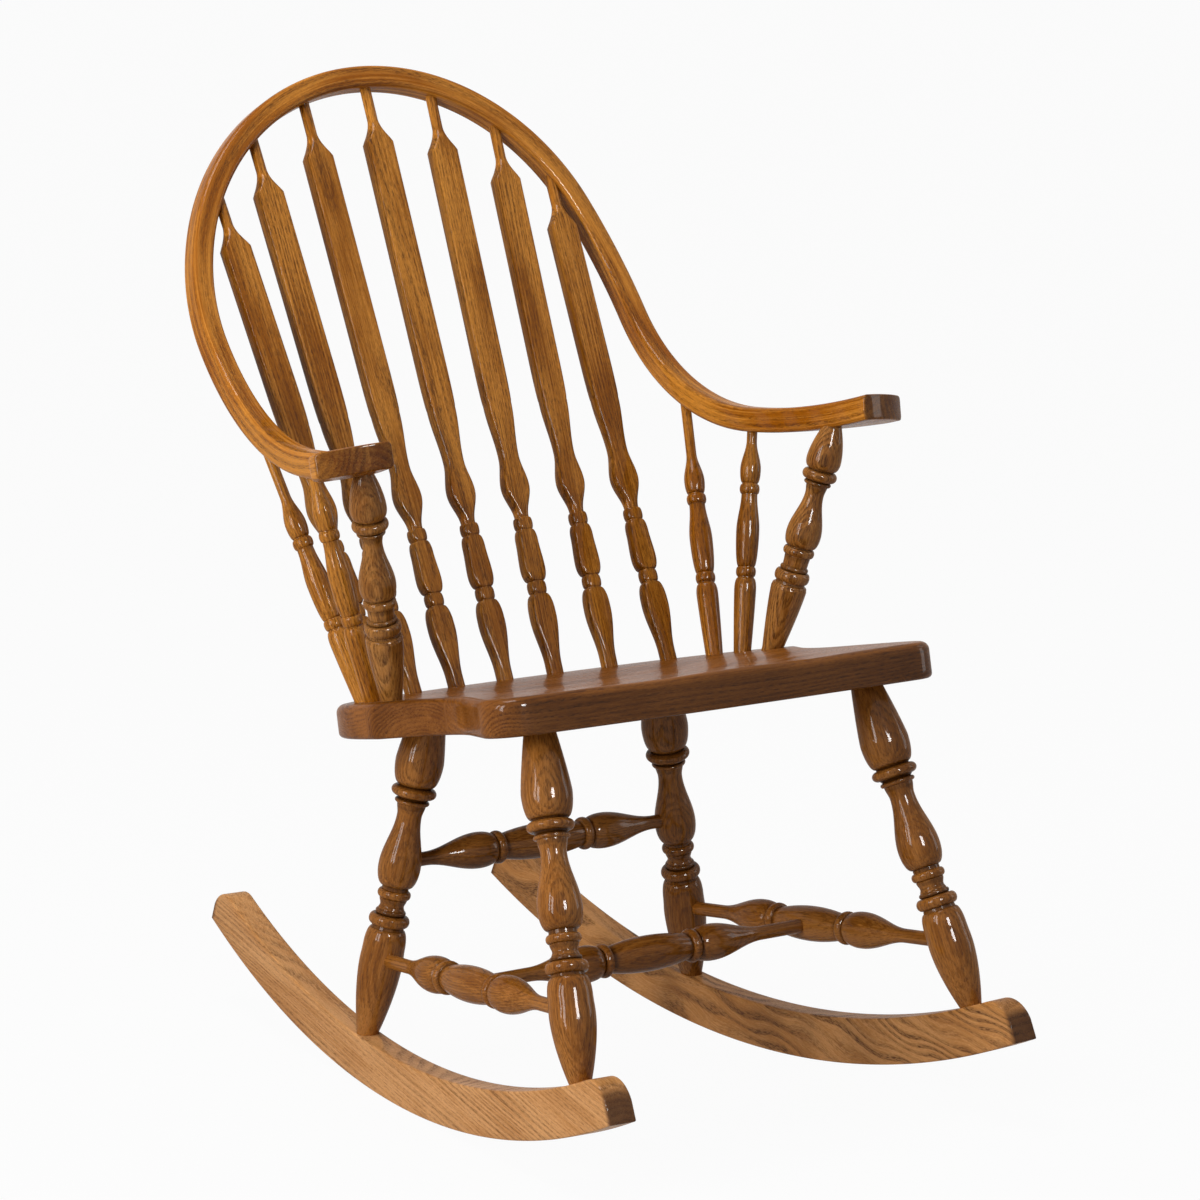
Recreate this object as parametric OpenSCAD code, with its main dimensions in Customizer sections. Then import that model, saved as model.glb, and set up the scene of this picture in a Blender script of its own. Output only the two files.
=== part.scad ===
// Arrow back rocking chair in solid oak.
// A thick saddle seat stands on four turned and splayed legs, tied by turned stretchers and
// set into two curved rockers. One bent bow makes the back hoop and both arms; seven arrow
// spindles, four small arm spindles and two turned arm posts carry it.
// Millimetres, Z up. The sitter faces -Y, left is -X as seen from the front, the floor is
// z = 0 and the rockers touch it at y = 0 when the chair is at rest.

/* [Rockers] */
// Radius of the curved underside of a rocker
rocker_radius = 1027; // [900:1:1200]
// Depth of the rocker board from its top edge to its underside
rocker_depth = 48; // [40:1:60]
// Thickness of the rocker board
rocker_thick = 28; // [24:0.5:36]
// Angle from the middle of a rocker to either end
rocker_sweep = 25; // [20:0.1:28]
// Distance from the middle of the chair to a rocker at its lowest point
rocker_side = 210.9; // [180:0.1:240]
// Angle by which each rocker runs outwards to the front
rocker_toe = 4; // [0:0.1:8]
// Rounding of the upper corner at both rocker ends
rocker_nose = 30; // [10:1:40]

/* [Seat] */
// Height of the top of the seat on the line of the arm posts
seat_height = 423.3; // [380:0.1:460]
// Position of the line of the arm posts from the resting point of the rockers: it puts the
// chair's weight right above that point
seat_y = -14.2; // [-60:0.1:20]
// Slope of the rear half of the seat's top, down to the back
seat_tilt = 12.2; // [6:0.1:15]
// Thickness of the seat blank
seat_thick = 37.4; // [30:0.1:48]
// Half the width of the seat at the arm posts
seat_half = 264; // [240:1:290]
// Depth from the arm post line to the back edge
seat_back = 187; // [170:1:210]
// Depth from the arm post line to the front edge
seat_front = 264; // [240:1:290]
// Rounding of the upper edge
seat_round = 9; // [4:0.5:12]
// Angle by which the blank, with its underside and the front half of its top, slopes less
seat_fall = 1.7; // [0:0.1:3]
// Radius of the cove in each side of the seat, in front of the arm post
cove_radius = 70; // [40:1:90]
// Depth of the carved hollow
hollow_depth = 12; // [4:0.5:14]
// Deepest point of the carved hollow, back from the arm post line
hollow_y = -68; // [-100:1:0]
// Radius of the carved hollow
hollow_radius = 1850; // [1400:50:2500]

/* [Bow] */
// Radius of the back hoop on its centre line
hoop_radius = 254; // [230:1:280]
// Angle of the hoop arc from its top to either side
hoop_sweep = 68; // [60:0.5:75]
// Lean of the back hoop
hoop_lean = 23.5; // [15:0.5:30]
// Top of the hoop centre line: sideways, back from the arm post line, above the floor
top_point = [0, 433.7, 1003.2];
// Point where the hoop turns forwards, left side
turn_point = [-261.4, 300.4, 744.6];
// Lowest point of the arm, left side
low_point = [-272, 89.5, 652.6];
// Front end of the arm, left side
end_point = [-295.8, -87, 685.1];
// Width of the bow seen from the front
bow_width = 24; // [20:0.5:30]
// Depth of the bow from front to back
bow_depth = 26; // [20:0.5:32]
// Rounding of the bow edges
bow_round = 5; // [2:0.5:8]
// Width of the hand pad glued to the outside of each arm
pad_width = 50; // [30:1:60]
// Length over which the pad grows to its full width
pad_flare = 120; // [80:1:130]
// Radius of the curved front edge of the hand rest
hand_front = 116; // [80:1:200]
// Distance from the inner front corner of the hand rest back to the outer one
hand_back = 16.5; // [8:0.5:25]
// Lean of the hand rest's front face
hand_lean = 8; // [0:1:20]
// Angle by which the hand rest droops to its outer side
pad_droop = 8.5; // [0:0.5:12]

/* [Legs] */
// Place of the front feet along the rocker, back from the arm post line
front_foot = -339.3; // [-370:0.1:-300]
// Place of the rear feet along the rocker, back from the arm post line
rear_foot = 102.7; // [70:0.1:140]
// Socket of a front leg in the underside of the seat, to the side and to the front
front_socket = [-196.4, -205.7];
// Socket of a rear leg in the underside of the seat, to the side and to the back
rear_socket = [-145.5, 86.4];
// Length of the foot below the large ring, front legs
front_shin = 110; // [95:1:130]
// Length of the foot below the large ring, rear legs
rear_shin = 121; // [95:1:140]
// Heights on the leg above the large ring: foot swell, groove, ring, fillet, cove, collar,
// groove, vase, neck, step, upper collar, upper neck, upper vase, top
leg_marks = [-46, -9, 0, 8.6, 15.5, 27.8, 35.8, 57, 111, 127, 136.4, 143.4, 169, 232];
// Radii of the leg at the same marks
leg_radii = [22.5, 16.8, 21.2, 15.8, 12.4, 17.3, 13.8, 21.9, 12.8, 18, 23.4, 17.7, 25, 15];
// Radius of the leg at the rocker
leg_toe = 11; // [10:0.5:14]
// Diameter of the tenon in the seat
leg_tenon = 25; // [20:1:28]
// Diameter of the tenon in the rocker
toe_tenon = 15; // [12:1:18]

/* [Stretchers] */
// Distance of the side stretchers below the large ring of the legs
side_drop = 42.5; // [30:0.5:55]
// Distance of the rear stretcher above the large ring of the rear legs
rear_rise = 61; // [50:1:75]
// Distance from the middle of a stretcher to its rings
ring_reach = 54; // [40:1:70]
// Radii of a stretcher: barrel at the middle, barrel end, ring, vase, tenon
rail_radii = [18.4, 13.2, 17.4, 19, 7.25];

/* [Arm supports] */
// Foot of an arm post on the seat
post_foot = [-234, 0];
// Foot of the front arm spindle on the seat
front_stick_foot = [-227.9, 46];
// Foot of the rear arm spindle on the seat
rear_stick_foot = [-217.2, 83];
// Heights on the arm post above its large ring, in the order of the leg marks
post_marks = [-13.5, -8.5, 0, 8.6, 16, 27, 32.5, 46, 90, 103, 110.5, 117, 127, 168];
// Radii of the arm post at the same marks
post_radii = [19, 15.8, 18.6, 15, 13.2, 16.6, 13.6, 18.6, 10, 14.4, 18.4, 13.6, 18.4, 7.8];
// Height of the large ring above the seat
post_ring = 80; // [60:1:100]
// Radius of the arm post at the seat
post_heel = 10.8; // [9:0.1:13]
// Heights on an arm spindle above the seat: swell, groove, lower ring, its top, barrel,
// barrel end, upper ring, groove, vase, top
stick_marks = [66, 78, 84.5, 90, 128, 167, 172.5, 179, 193, 224];
// Radii of the arm spindle at the same marks
stick_radii = [11.7, 8.6, 10.6, 8.6, 12.3, 8.5, 10.6, 8.2, 11, 5.5];
// Radius of the arm spindle at the seat
stick_heel = 9.3; // [8:0.1:11]

/* [Arrow spindles] */
// Feet of the arrow spindles on the seat, from the middle outwards
arrow_feet = [[0, 158.7], [61.7, 156.4], [122.6, 143.4], [177.4, 111.7]];
// Angle between neighbouring spindles on the hoop
arrow_step = 18.4; // [15:0.1:20]
// Thickness between the planed front and back
arrow_thick = 16; // [12:0.5:20]
// Heights on an arrow spindle above the seat: straight foot, vase, its shoulder, groove,
// lower ring, groove, barrel, its shoulder, groove, upper ring, groove, swell, waist, blade
// swell, full blade
arrow_marks = [10, 63, 67, 87, 94.4, 101.6, 116, 146, 158.2, 165.3, 172, 207, 240, 300, 345];
// Radii of the arrow spindle at the same marks
arrow_radii = [9.1, 14.7, 14.6, 8.9, 10.4, 8.8, 13.7, 12.3, 8.8, 10.4, 7.8, 15.7, 11.2, 15.6,
               16.9];
// Length of the round neck above the blade
arrow_neck = 62; // [50:1:75]
// Radius of the neck
arrow_tip = 5.8; // [5:0.1:8]
// Length of the shoulder between the blade and the neck
arrow_shoulder = 27; // [20:1:35]

/* [Fits] */
// Gap on the radius of each glued round joint
joint_gap = 0.15; // [0.05:0.05:0.3]
// Depth of the spindle and post feet in the seat
foot_depth = 22; // [15:1:26]
// Depth of the leg sockets in the seat
leg_socket = 23; // [15:1:26]
// Angle by which two bends of the bow run over each other, so that they are one piece
bend_lap = 0.25; // [0.1:0.05:0.5]
// Amount by which every second bend is thinner on each face
bend_trim = 0.05; // [0.02:0.01:0.1]

/* [Hidden] */
$fn = 64;
oak_dark = [0.42, 0.24, 0.12];
oak_mid = [0.52, 0.31, 0.15];
oak_light = [0.62, 0.42, 0.24];
rocker_top = rocker_radius - rocker_depth;
seat_origin = [0, seat_y, seat_height];
hoop_top = top_point + [0, seat_y, 0];
bow_turn = turn_point + [0, seat_y, 0];
bow_low = low_point + [0, seat_y, 0];
bow_end = end_point + [0, seat_y, 0];

// Small vector helpers
function unit(v) = v / norm(v);
function flip(p) = [-p[0], p[1], p[2]];
function spin(v, n, a) = v * cos(a) + cross(n, v) * sin(a) + n * (n * v) * (1 - cos(a));

// A point of the seat: sideways, backwards along the slope, and above its top face
function on_seat(u, v, w) = [u, seat_y + v * cos(seat_tilt) + w * sin(seat_tilt),
                             seat_height - v * sin(seat_tilt) + w * cos(seat_tilt)];
// Line across the seat in front of which its top follows the slope of the blank
fall_line = -40;
// Height of the underside over the slope of the rear half
function underside(v) = (v - fall_line) * tan(seat_fall) - seat_thick;
// A point on the top edge of the left rocker at a distance from its middle
function on_rocker(t) = [-rocker_side + t * sin(rocker_toe), t * cos(rocker_toe),
                         rocker_radius - sqrt(pow(rocker_top, 2) - t * t)];

// Places children with Z along the line from p to q and Y as near as can be to the way given
module along(p, q, way = [0, 1, 0]) {
  z = unit(q - p);
  x = unit(cross(way, z));
  y = cross(z, x);
  multmatrix([[x[0], y[0], z[0], p[0]], [x[1], y[1], z[1], p[1]], [x[2], y[2], z[2], p[2]],
              [0, 0, 0, 1]])
    children();
}

// Round hole from p towards q, starting back by the length before
module bore(p, q, radius, depth, before = 0) {
  along(p, q)
    translate([0, 0, -before])
      cylinder(r = radius + joint_gap, h = depth + before);
}

// Runs of a turned outline, each a list of [radius, distance along the axis]
function ease(r0, z0, r1, z1, n = 7) =
  [for (i = [1:n]) [r0 + (r1 - r0) * (1 - cos(180 * i / n)) / 2, z0 + (z1 - z0) * i / n]];
function taper(r0, z0, r1, z1, p = 1.7, n = 6) =
  [for (i = [1:n]) [r0 + (r1 - r0) * pow(i / n, p), z0 + (z1 - z0) * i / n]];
function fill(r0, z0, r1, z1, p = 1.7, n = 6) =
  [for (i = [1:n]) [r1 + (r0 - r1) * pow(1 - i / n, p), z0 + (z1 - z0) * i / n]];
function swell(r0, z0, r1, z1, n = 5) =
  [for (i = [1:n]) [r0 + (r1 - r0) * sin(90 * i / n), z0 + (z1 - z0) * (1 - cos(90 * i / n))]];
function fall(r0, z0, r1, z1, n = 5) =
  [for (i = [1:n]) [r1 + (r0 - r1) * cos(90 * i / n), z0 + (z1 - z0) * sin(90 * i / n)]];
function bead(r, z, h, base, n = 6) =
  [for (i = [0:n]) [base + (r - base) * sin(180 * i / n), z - h / 2 * cos(180 * i / n)]];

module turned(points) {
  rotate_extrude()
    polygon(concat([[0, points[0][1]]], points, [[0, points[len(points) - 1][1]]]));
}

// The turning shared by legs and arm posts, from the foot swell to the top, above the ring
function baluster(z, r, p = 1.7) = concat(
  ease(r[0], z[0], r[0] * 0.97, z[0] + (z[1] - z[0]) * 0.5, 3),
  fall(r[0] * 0.97, z[0] + (z[1] - z[0]) * 0.5, r[1], z[1], 4),
  bead(r[2], z[2], 12, r[1] - 0.5),
  bead(r[3], z[3], 5, r[3] - 2, 4),
  ease(r[3] - 2, z[3] + 2.5, r[4], z[4], 4),
  ease(r[4], z[4], r[5] - 3, z[5] - 5, 4),
  bead(r[5], z[5], 9, r[6], 5),
  [[r[6], z[6]]],
  swell(r[6], z[6], r[7], z[7]),
  ease(r[7], z[7], r[8], z[8], 9),
  ease(r[8], z[8], r[9] - 3, z[9] - 3, 4),
  bead(r[9], z[9] - 1, 5, r[9] - 3, 4),
  bead(r[10], z[10], 11, r[9] - 1),
  [[r[11], z[11]]],
  swell(r[11], z[11], r[12], z[12]),
  taper(r[12], z[12], r[13], z[13], p));

/* Rockers */

// Side view of a rocker: an arc board with its two upper corners rounded
module rocker_side_view() {
  reach = rocker_radius + 10;
  intersection() {
    difference() {
      circle(r = rocker_radius, $fn = 360);
      circle(r = rocker_top, $fn = 360);
    }
    polygon([[0, 0], [-reach * tan(rocker_sweep), -reach], [reach * tan(rocker_sweep), -reach]]);
  }
}

// What is cut away to round the upper corner at one end of the arc
module rocker_corner() {
  rotate(rocker_sweep)
    translate([0, -rocker_top])
      difference() {
        translate([-rocker_nose, -rocker_nose])
          square([rocker_nose + 5, rocker_nose + 5]);
        translate([-rocker_nose, -rocker_nose])
          circle(r = rocker_nose);
        translate([-rocker_nose, -rocker_nose - 1])
          square([1, rocker_nose + 1]);
      }
}

module rocker_blank() {
  linear_extrude(rocker_thick, center = true)
    difference() {
      rocker_side_view();
      rocker_corner();
      mirror([1, 0])
        rocker_corner();
    }
}

module rocker_place() {
  translate([-rocker_side, 0, rocker_radius])
    rotate([90, 0, 90 - rocker_toe])
      children();
}

module rocker() {
  color(oak_light)
    difference() {
      rocker_place()
        rocker_blank();
      for (i = [0, 1])
        bore(leg_foot(i), leg_head(i), toe_tenon / 2, 10, 22);
    }
}

/* Legs */

// Where a leg stands on its rocker and where it meets the underside of the seat
function leg_foot(i) = on_rocker((i == 0 ? front_foot : rear_foot) + seat_y);
function leg_head(i) =
  let (p = i == 0 ? front_socket : rear_socket)
  on_seat(p[0], p[1], underside(p[1]));
function leg_shin(i) = i == 0 ? front_shin : rear_shin;
// A point on the axis of a left leg at a distance above its large ring
function on_leg(i, z) =
  leg_foot(i) + unit(leg_head(i) - leg_foot(i)) * (leg_shin(i) + z);

function leg_outline(i) = concat(
  [[leg_toe, -leg_shin(i) - 8], [leg_toe, -leg_shin(i)]],
  fill(leg_toe, -leg_shin(i), leg_radii[0], leg_marks[0]),
  baluster(leg_marks, leg_radii, 1.2),
  [[leg_radii[13], leg_marks[13] + norm(leg_head(i) - leg_foot(i))]]);

// Space between the rocker and the seat that a leg body may fill
module leg_room() {
  intersection() {
    rocker_place()
      cylinder(r = rocker_top, h = 200, center = true, $fn = 360);
    translate(seat_origin)
      rotate([-seat_tilt, 0, 0])
        translate([-2 * seat_half, fall_line, -seat_thick])
          rotate([seat_fall, 0, 0])
            translate([0, -2 * seat_front, -2 * seat_height])
              cube([4 * seat_half, 4 * seat_front, 2 * seat_height]);
  }
}

module leg(i) {
  foot = leg_foot(i);
  head = leg_head(i);
  length = norm(head - foot);
  color(oak_mid)
    difference() {
      union() {
        intersection() {
          along(foot, head)
            translate([0, 0, leg_shin(i)])
              turned(leg_outline(i));
          leg_room();
        }
        along(foot, head)
          translate([0, 0, -20])
            cylinder(d = toe_tenon, h = 30);
        along(foot, head)
          translate([0, 0, length - 20])
            cylinder(d = leg_tenon, h = 19 + leg_socket);
      }
      bore(on_leg(i, -side_drop), on_leg(1 - i, -side_drop), rail_radii[4], 24);
      if (i == 1)
        bore(on_leg(1, rear_rise), flip(on_leg(1, rear_rise)), rail_radii[4], 26, 2);
      if (i == 0)
        bore(on_leg(0, -side_drop), on_leg(1, -side_drop), rail_radii[4], 2, 2);
    }
}

/* Stretchers */

// Half of a stretcher outline, from its middle to its end
function rail_half(reach) = concat(
  taper(rail_radii[0], 0, rail_radii[1], ring_reach - 5.5, 2),
  bead(rail_radii[2], ring_reach, 10, rail_radii[1]),
  swell(rail_radii[1], ring_reach + 5.5, rail_radii[3], ring_reach + 24),
  ease(rail_radii[3], ring_reach + 24, rail_radii[4], ring_reach + 88, 9),
  [[rail_radii[4], reach]]);
function reversed(list) = [for (i = [len(list) - 1:-1:0]) [list[i][0], -list[i][1]]];

// A stretcher between two points of the legs' axes, its tenons stopping short of each axis
module rail(p, q, short) {
  reach = norm(q - p) / 2 - short;
  half = rail_half(reach);
  along(p, q)
    translate([0, 0, norm(q - p) / 2])
      turned(concat(reversed(half), [[rail_radii[0], 0]], half));
}

rail_middle = (on_leg(0, -side_drop) + on_leg(1, -side_drop)) / 2;

module side_stretcher() {
  color(oak_mid)
    difference() {
      rail(on_leg(1, -side_drop), on_leg(0, -side_drop), 2);
      bore(rail_middle, flip(rail_middle), rail_radii[4], 20, 2);
    }
}

module cross_stretcher() {
  color(oak_mid)
    rail(rail_middle, flip(rail_middle), 1);
}

module rear_stretcher() {
  color(oak_dark)
    rail(on_leg(1, rear_rise), flip(on_leg(1, rear_rise)), 1);
}

/* Seat */

// Centres and radii of the arcs that make the plan of the right half of the seat
back_radius = 543;
back_centre = [0, seat_back - back_radius];
wing_radius = 150;
wing_centre = [seat_half - wing_radius,
               back_centre[1] + sqrt(pow(back_radius - wing_radius, 2)
                                     - pow(seat_half - wing_radius, 2))];
wing_angle = atan2(wing_centre[1] - back_centre[1], wing_centre[0]);
lobe_radius = 13;
lobe_centre = [seat_half - lobe_radius, -6];
notch = [seat_half - 61, -86];
corner_radius = 40;
corner_centre = [seat_half - 38, corner_radius + 11 - seat_front];
front_radius = (pow(corner_centre[0], 2) + 121 + 22 * corner_radius) / 22;
front_centre = [0, front_radius - seat_front];
corner_angle = atan2(corner_centre[1] - front_centre[1], corner_centre[0]);

// Outward direction of a line from p that touches a circle, on one side or the other
function touch(c, r, p, side) = atan2(p[1] - c[1], p[0] - c[0]) + side * acos(r / norm(p - c));
lobe_angle = touch(lobe_centre, lobe_radius, notch, 1);
side_angle = touch(corner_centre, corner_radius, notch, -1);
function arc(c, r, a0, a1, n) =
  [for (i = [0:n]) let (a = a0 + (a1 - a0) * i / n) c + r * [cos(a), sin(a)]];
function mirrored_list(list) = [for (i = [len(list) - 1:-1:0]) [-list[i][0], list[i][1]]];

// Plan of the seat behind the notches, drawn inside its edge by the amount given
function rear_half(inside) = concat(
  [notch - inside * [cos(lobe_angle), sin(lobe_angle)]],
  arc(lobe_centre, lobe_radius - inside, lobe_angle, 0, 5),
  arc(wing_centre, wing_radius - inside, 0, wing_angle, 9),
  arc(back_centre, back_radius - inside, wing_angle, 90, 6));

// Plan of the seat in front of the notches, reaching back to the fall line
function front_half(inside) =
  let (back = notch - inside * [cos(side_angle), sin(side_angle)])
  concat(
    arc(front_centre, front_radius - inside, -90, corner_angle, 6),
    arc(corner_centre, corner_radius - inside, corner_angle, side_angle, 8),
    [back + (fall_line - back[1]) / cos(side_angle) * [-sin(side_angle), cos(side_angle)]]);

// Levels of the edge: height over the top face and distance inside the plan
edge_top = [for (i = [0:4]) seat_round * [sin(22.5 * i) - 1, 1 - cos(22.5 * i)]];
edge_foot = [[-seat_thick, 4], [-seat_thick + 1.2, 1.2], [-seat_thick + 4, 0]];

module level(half, z) {
  translate([0, 0, z])
    linear_extrude(0.02)
      polygon(concat(half, mirrored_list(half)));
}

// Lays level things along the slope of the blank
module blank_slope() {
  multmatrix([[1, 0, 0, 0], [0, 1, 0, 0], [0, tan(seat_fall), 1, -tan(seat_fall) * fall_line],
              [0, 0, 0, 1]])
    children();
}

module rear_slab() {
  hull() {
    blank_slope()
      for (e = edge_foot)
        level(rear_half(e[1]), e[0]);
    for (e = edge_top)
      level(rear_half(e[1]), e[0]);
  }
}

module front_slab() {
  hull() {
    blank_slope()
      for (e = concat(edge_foot, edge_top))
        level(front_half(e[1]), e[0]);
  }
}

// The cove in each side of the seat: short straight edges that touch one circle
cove_steps = 3;
cove_step = (side_angle - lobe_angle) / (cove_steps + 1);
cove_reach = cove_radius / cos((side_angle - lobe_angle) / 2);
cove_middle = (side_angle + lobe_angle) / 2;
cove_centre = notch + cove_reach * [cos(cove_middle), sin(cove_middle)];
function cove_point(i) =
  let (a = side_angle - (i + 0.5) * cove_step)
  cove_centre - cove_radius / cos(cove_step / 2) * [cos(a), sin(a)];
function cove_half(i, inside) =
  let (a = side_angle - (i + 1) * cove_step, n = inside * [cos(a), sin(a)],
       p = cove_point(i) - n, q = cove_point(i + 1) - n)
  [p - [18, 8], p, q, q + [-18, 8]];

module cove_slab(i) {
  hull() {
    blank_slope()
      for (e = concat(edge_foot, edge_top))
        level(cove_half(i, e[1]), e[0]);
  }
}

module both() {
  children();
  mirror([1, 0, 0])
    children();
}

module seat_blank() {
  difference() {
    rear_slab();
    translate([0, fall_line, 0])
      rotate([seat_fall, 0, 0])
        translate([-400, -300, 0])
          cube([800, 300, 40]);
  }
  front_slab();
  for (i = [0 : cove_steps - 1])
    cove_slab(i);
}

module seat() {
  color(oak_mid)
    difference() {
      translate(seat_origin)
        rotate([-seat_tilt, 0, 0])
          difference() {
            seat_blank();
            translate([0, hollow_y, hollow_radius - hollow_depth])
              sphere(r = hollow_radius, $fn = 256);
          }
      both() {
        for (i = [0, 1])
          bore(leg_head(i), leg_foot(i), leg_tenon / 2, 10, leg_socket);
        bore(stick_foot(post_foot), post_head, post_heel, 10, foot_depth + 1);
        bore(stick_foot(front_stick_foot), front_stick_head, stick_heel, 10, foot_depth + 1);
        bore(stick_foot(rear_stick_foot), rear_stick_head, stick_heel, 10, foot_depth + 1);
        for (k = [1:3])
          bore(arrow_base(k), arrow_head(k), arrow_heel, 10, foot_depth + 1);
      }
      bore(arrow_base(0), arrow_head(0), arrow_heel, 10, foot_depth + 1);
    }
}

/* Bow */

// One bend of the bow from a state [point, heading, width direction] to a point: its centre,
// radius, angle, turning axis and direction to the centre
function bend(s, q) =
  let (chord = q - s[0], n = unit(cross(s[1], chord)), m = cross(n, s[1]),
       r = chord * chord / (2 * (chord * m)), a = 2 * atan2(chord * m, chord * s[1]))
  [s[0] + m * r, r, a, n, m];
function after(s, q) =
  let (b = bend(s, q))
  [q, spin(s[1], b[3], b[2]), spin(s[2], b[3], b[2])];
// State part of the way round a bend
function within(s, q, share) =
  let (b = bend(s, q), a = b[2] * share)
  [b[0] + spin(-b[4] * b[1], b[3], a), spin(s[1], b[3], a), spin(s[2], b[3], a)];

hoop_up = [0, sin(hoop_lean), cos(hoop_lean)];
hoop_face = [0, -cos(hoop_lean), sin(hoop_lean)];
hoop_centre = hoop_top - hoop_up * hoop_radius;
// A point of the hoop, its angle counted from the top, positive to the left
function on_hoop(a, r) = hoop_centre + r * (hoop_up * cos(a) - [1, 0, 0] * sin(a));
bow_0 = [on_hoop(hoop_sweep, hoop_radius),
         -[1, 0, 0] * cos(hoop_sweep) - hoop_up * sin(hoop_sweep),
         hoop_up * cos(hoop_sweep) - [1, 0, 0] * sin(hoop_sweep)];
bow_1 = after(bow_0, bow_turn);
bow_2 = after(bow_1, bow_low);
bow_3 = after(bow_2, bow_end);

// Bow section: width in X, depth in Y, rounded at the corners, and smaller all round by the
// trim; the outer corners may be square
module bow_section(trim = 0, square_outside = false) {
  w = bow_width / 2 - trim;
  d = bow_depth / 2 - trim;
  c = bow_round;
  square([2 * w, 2 * (d - c)], center = true);
  square([2 * (w - c), 2 * d], center = true);
  for (sy = [-1, 1])
    for (sx = [-1, 1])
      translate([sx * (w - c), sy * (d - c)])
        circle(r = c);
  if (square_outside)
    translate([0, -d])
      square([w, 2 * d]);
}

// Sweeps a section drawn in width and depth through the bend from s to q, and past both by
// the angle given
module sweep(s, q, past = 0) {
  b = bend(s, q);
  x = -b[4];
  y = s[1];
  z = b[3];
  c = b[0];
  roll = atan2(s[2] * z, s[2] * x);
  multmatrix([[x[0], y[0], z[0], c[0]], [x[1], y[1], z[1], c[1]], [x[2], y[2], z[2], c[2]],
              [0, 0, 0, 1]])
    rotate(-past)
      rotate_extrude(angle = b[2] + 2 * past, $fn = 180)
        translate([b[1], 0])
          rotate(roll)
            children();
}

module hoop() {
  multmatrix([[hoop_up[0], -1, hoop_face[0], hoop_centre[0]],
              [hoop_up[1], 0, hoop_face[1], hoop_centre[1]],
              [hoop_up[2], 0, hoop_face[2], hoop_centre[2]], [0, 0, 0, 1]])
    rotate(-hoop_sweep - bend_lap)
      rotate_extrude(angle = 2 * (hoop_sweep + bend_lap), $fn = 180)
        translate([hoop_radius, 0])
          bow_section();
}

module bow() {
  color(oak_mid)
    difference() {
      union() {
        hoop();
        both() {
          sweep(bow_0, bow_turn)
            bow_section(bend_trim);
          sweep(bow_1, bow_low, bend_lap)
            bow_section();
          sweep(bow_2, bow_end, bend_lap)
            bow_section(bend_trim, true);
        }
      }
      both()
        hand_frame()
          linear_extrude(3 * bow_depth, center = true)
            difference() {
              translate([-bow_width, -bow_width])
                square([bow_width + pad_width, 3 * bow_width]);
              hand_edge();
            }
      both() {
        bore(post_head, stick_foot(post_foot), post_radii[13], 40, 5);
        bore(front_stick_head, stick_foot(front_stick_foot), stick_tip, 40, 5);
        bore(rear_stick_head, stick_foot(rear_stick_foot), stick_tip, 40, 5);
        for (k = [1:3])
          bore(arrow_head(k), arrow_base(k), arrow_tip, 40, 5);
      }
      bore(arrow_head(0), arrow_base(0), arrow_tip, 40, 5);
    }
}

// Frame of the left hand rest at the end of the arm: X outwards, Y ahead, Z up its front face
module hand_frame() {
  ahead = unit([bow_3[1][0], bow_3[1][1], 0]);
  x = [ahead[1], -ahead[0], 0];
  y = ahead * cos(hand_lean) + [0, 0, sin(hand_lean)];
  z = [0, 0, cos(hand_lean)] - ahead * sin(hand_lean);
  p = bow_end;
  multmatrix([[x[0], y[0], z[0], p[0]], [x[1], y[1], z[1], p[1]], [x[2], y[2], z[2], p[2]],
              [0, 0, 0, 1]])
    children();
}

// Circle of the front edge, through the inner and the outer front corner of the hand rest
module hand_edge() {
  chord = [bow_width + pad_width, -hand_back];
  across = unit([hand_back, bow_width + pad_width]);
  translate([-bow_width / 2, 0] + chord / 2
            - across * sqrt(pow(hand_front, 2) - pow(norm(chord) / 2, 2)))
    circle(r = hand_front, $fn = 360);
}

// Plan of the hand pad: from the outer face of the arm it flares out to its full width
module pad_plan() {
  side = bow_width / 2 - bend_trim;
  edge = [for (i = [0:14])
          [side + pad_width * (1 + cos(180 * i / 14)) / 2, -hand_back - pad_flare * i / 14]];
  intersection() {
    polygon(concat([[side - 20, bow_width], [side + pad_width, bow_width]], edge,
                   [[side - 20, -hand_back - pad_flare]]));
    hand_edge();
  }
}

// The hand pad: glued to the side of the arm, flush with it there, and drooping outwards
module arm_pad() {
  side = bow_width / 2 - bend_trim;
  half = bow_depth / 2 - bend_trim;
  drop = (pad_width + 5) * tan(pad_droop);
  color(oak_dark)
    intersection() {
      sweep(bow_2, bow_end, bend_lap)
        polygon([[side, half], [side, -half], [side + pad_width + 5, -half - drop],
                 [side + pad_width + 5, half - drop]]);
      hand_frame()
        linear_extrude(6 * bow_depth, center = true)
          pad_plan();
    }
}

/* Arm posts and arm spindles */

function stick_foot(p) = on_seat(p[0], p[1], 0);
post_head = within(bow_2, bow_end, 0.71)[0];
front_stick_head = bow_low;
rear_stick_head = within(bow_1, bow_low, 0.5)[0];
stick_tip = stick_radii[9];

module arm_post() {
  foot = stick_foot(post_foot);
  length = norm(post_head - foot);
  color(oak_mid)
    along(foot, post_head)
      turned(concat(
        [[post_heel, -foot_depth], [post_heel, 0]],
        fill(post_heel, 0, post_radii[0], post_ring + post_marks[0], 1.3),
        [for (p = baluster(post_marks, post_radii)) [p[0], p[1] + post_ring]],
        [[post_radii[13], length + 4]]));
}

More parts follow.
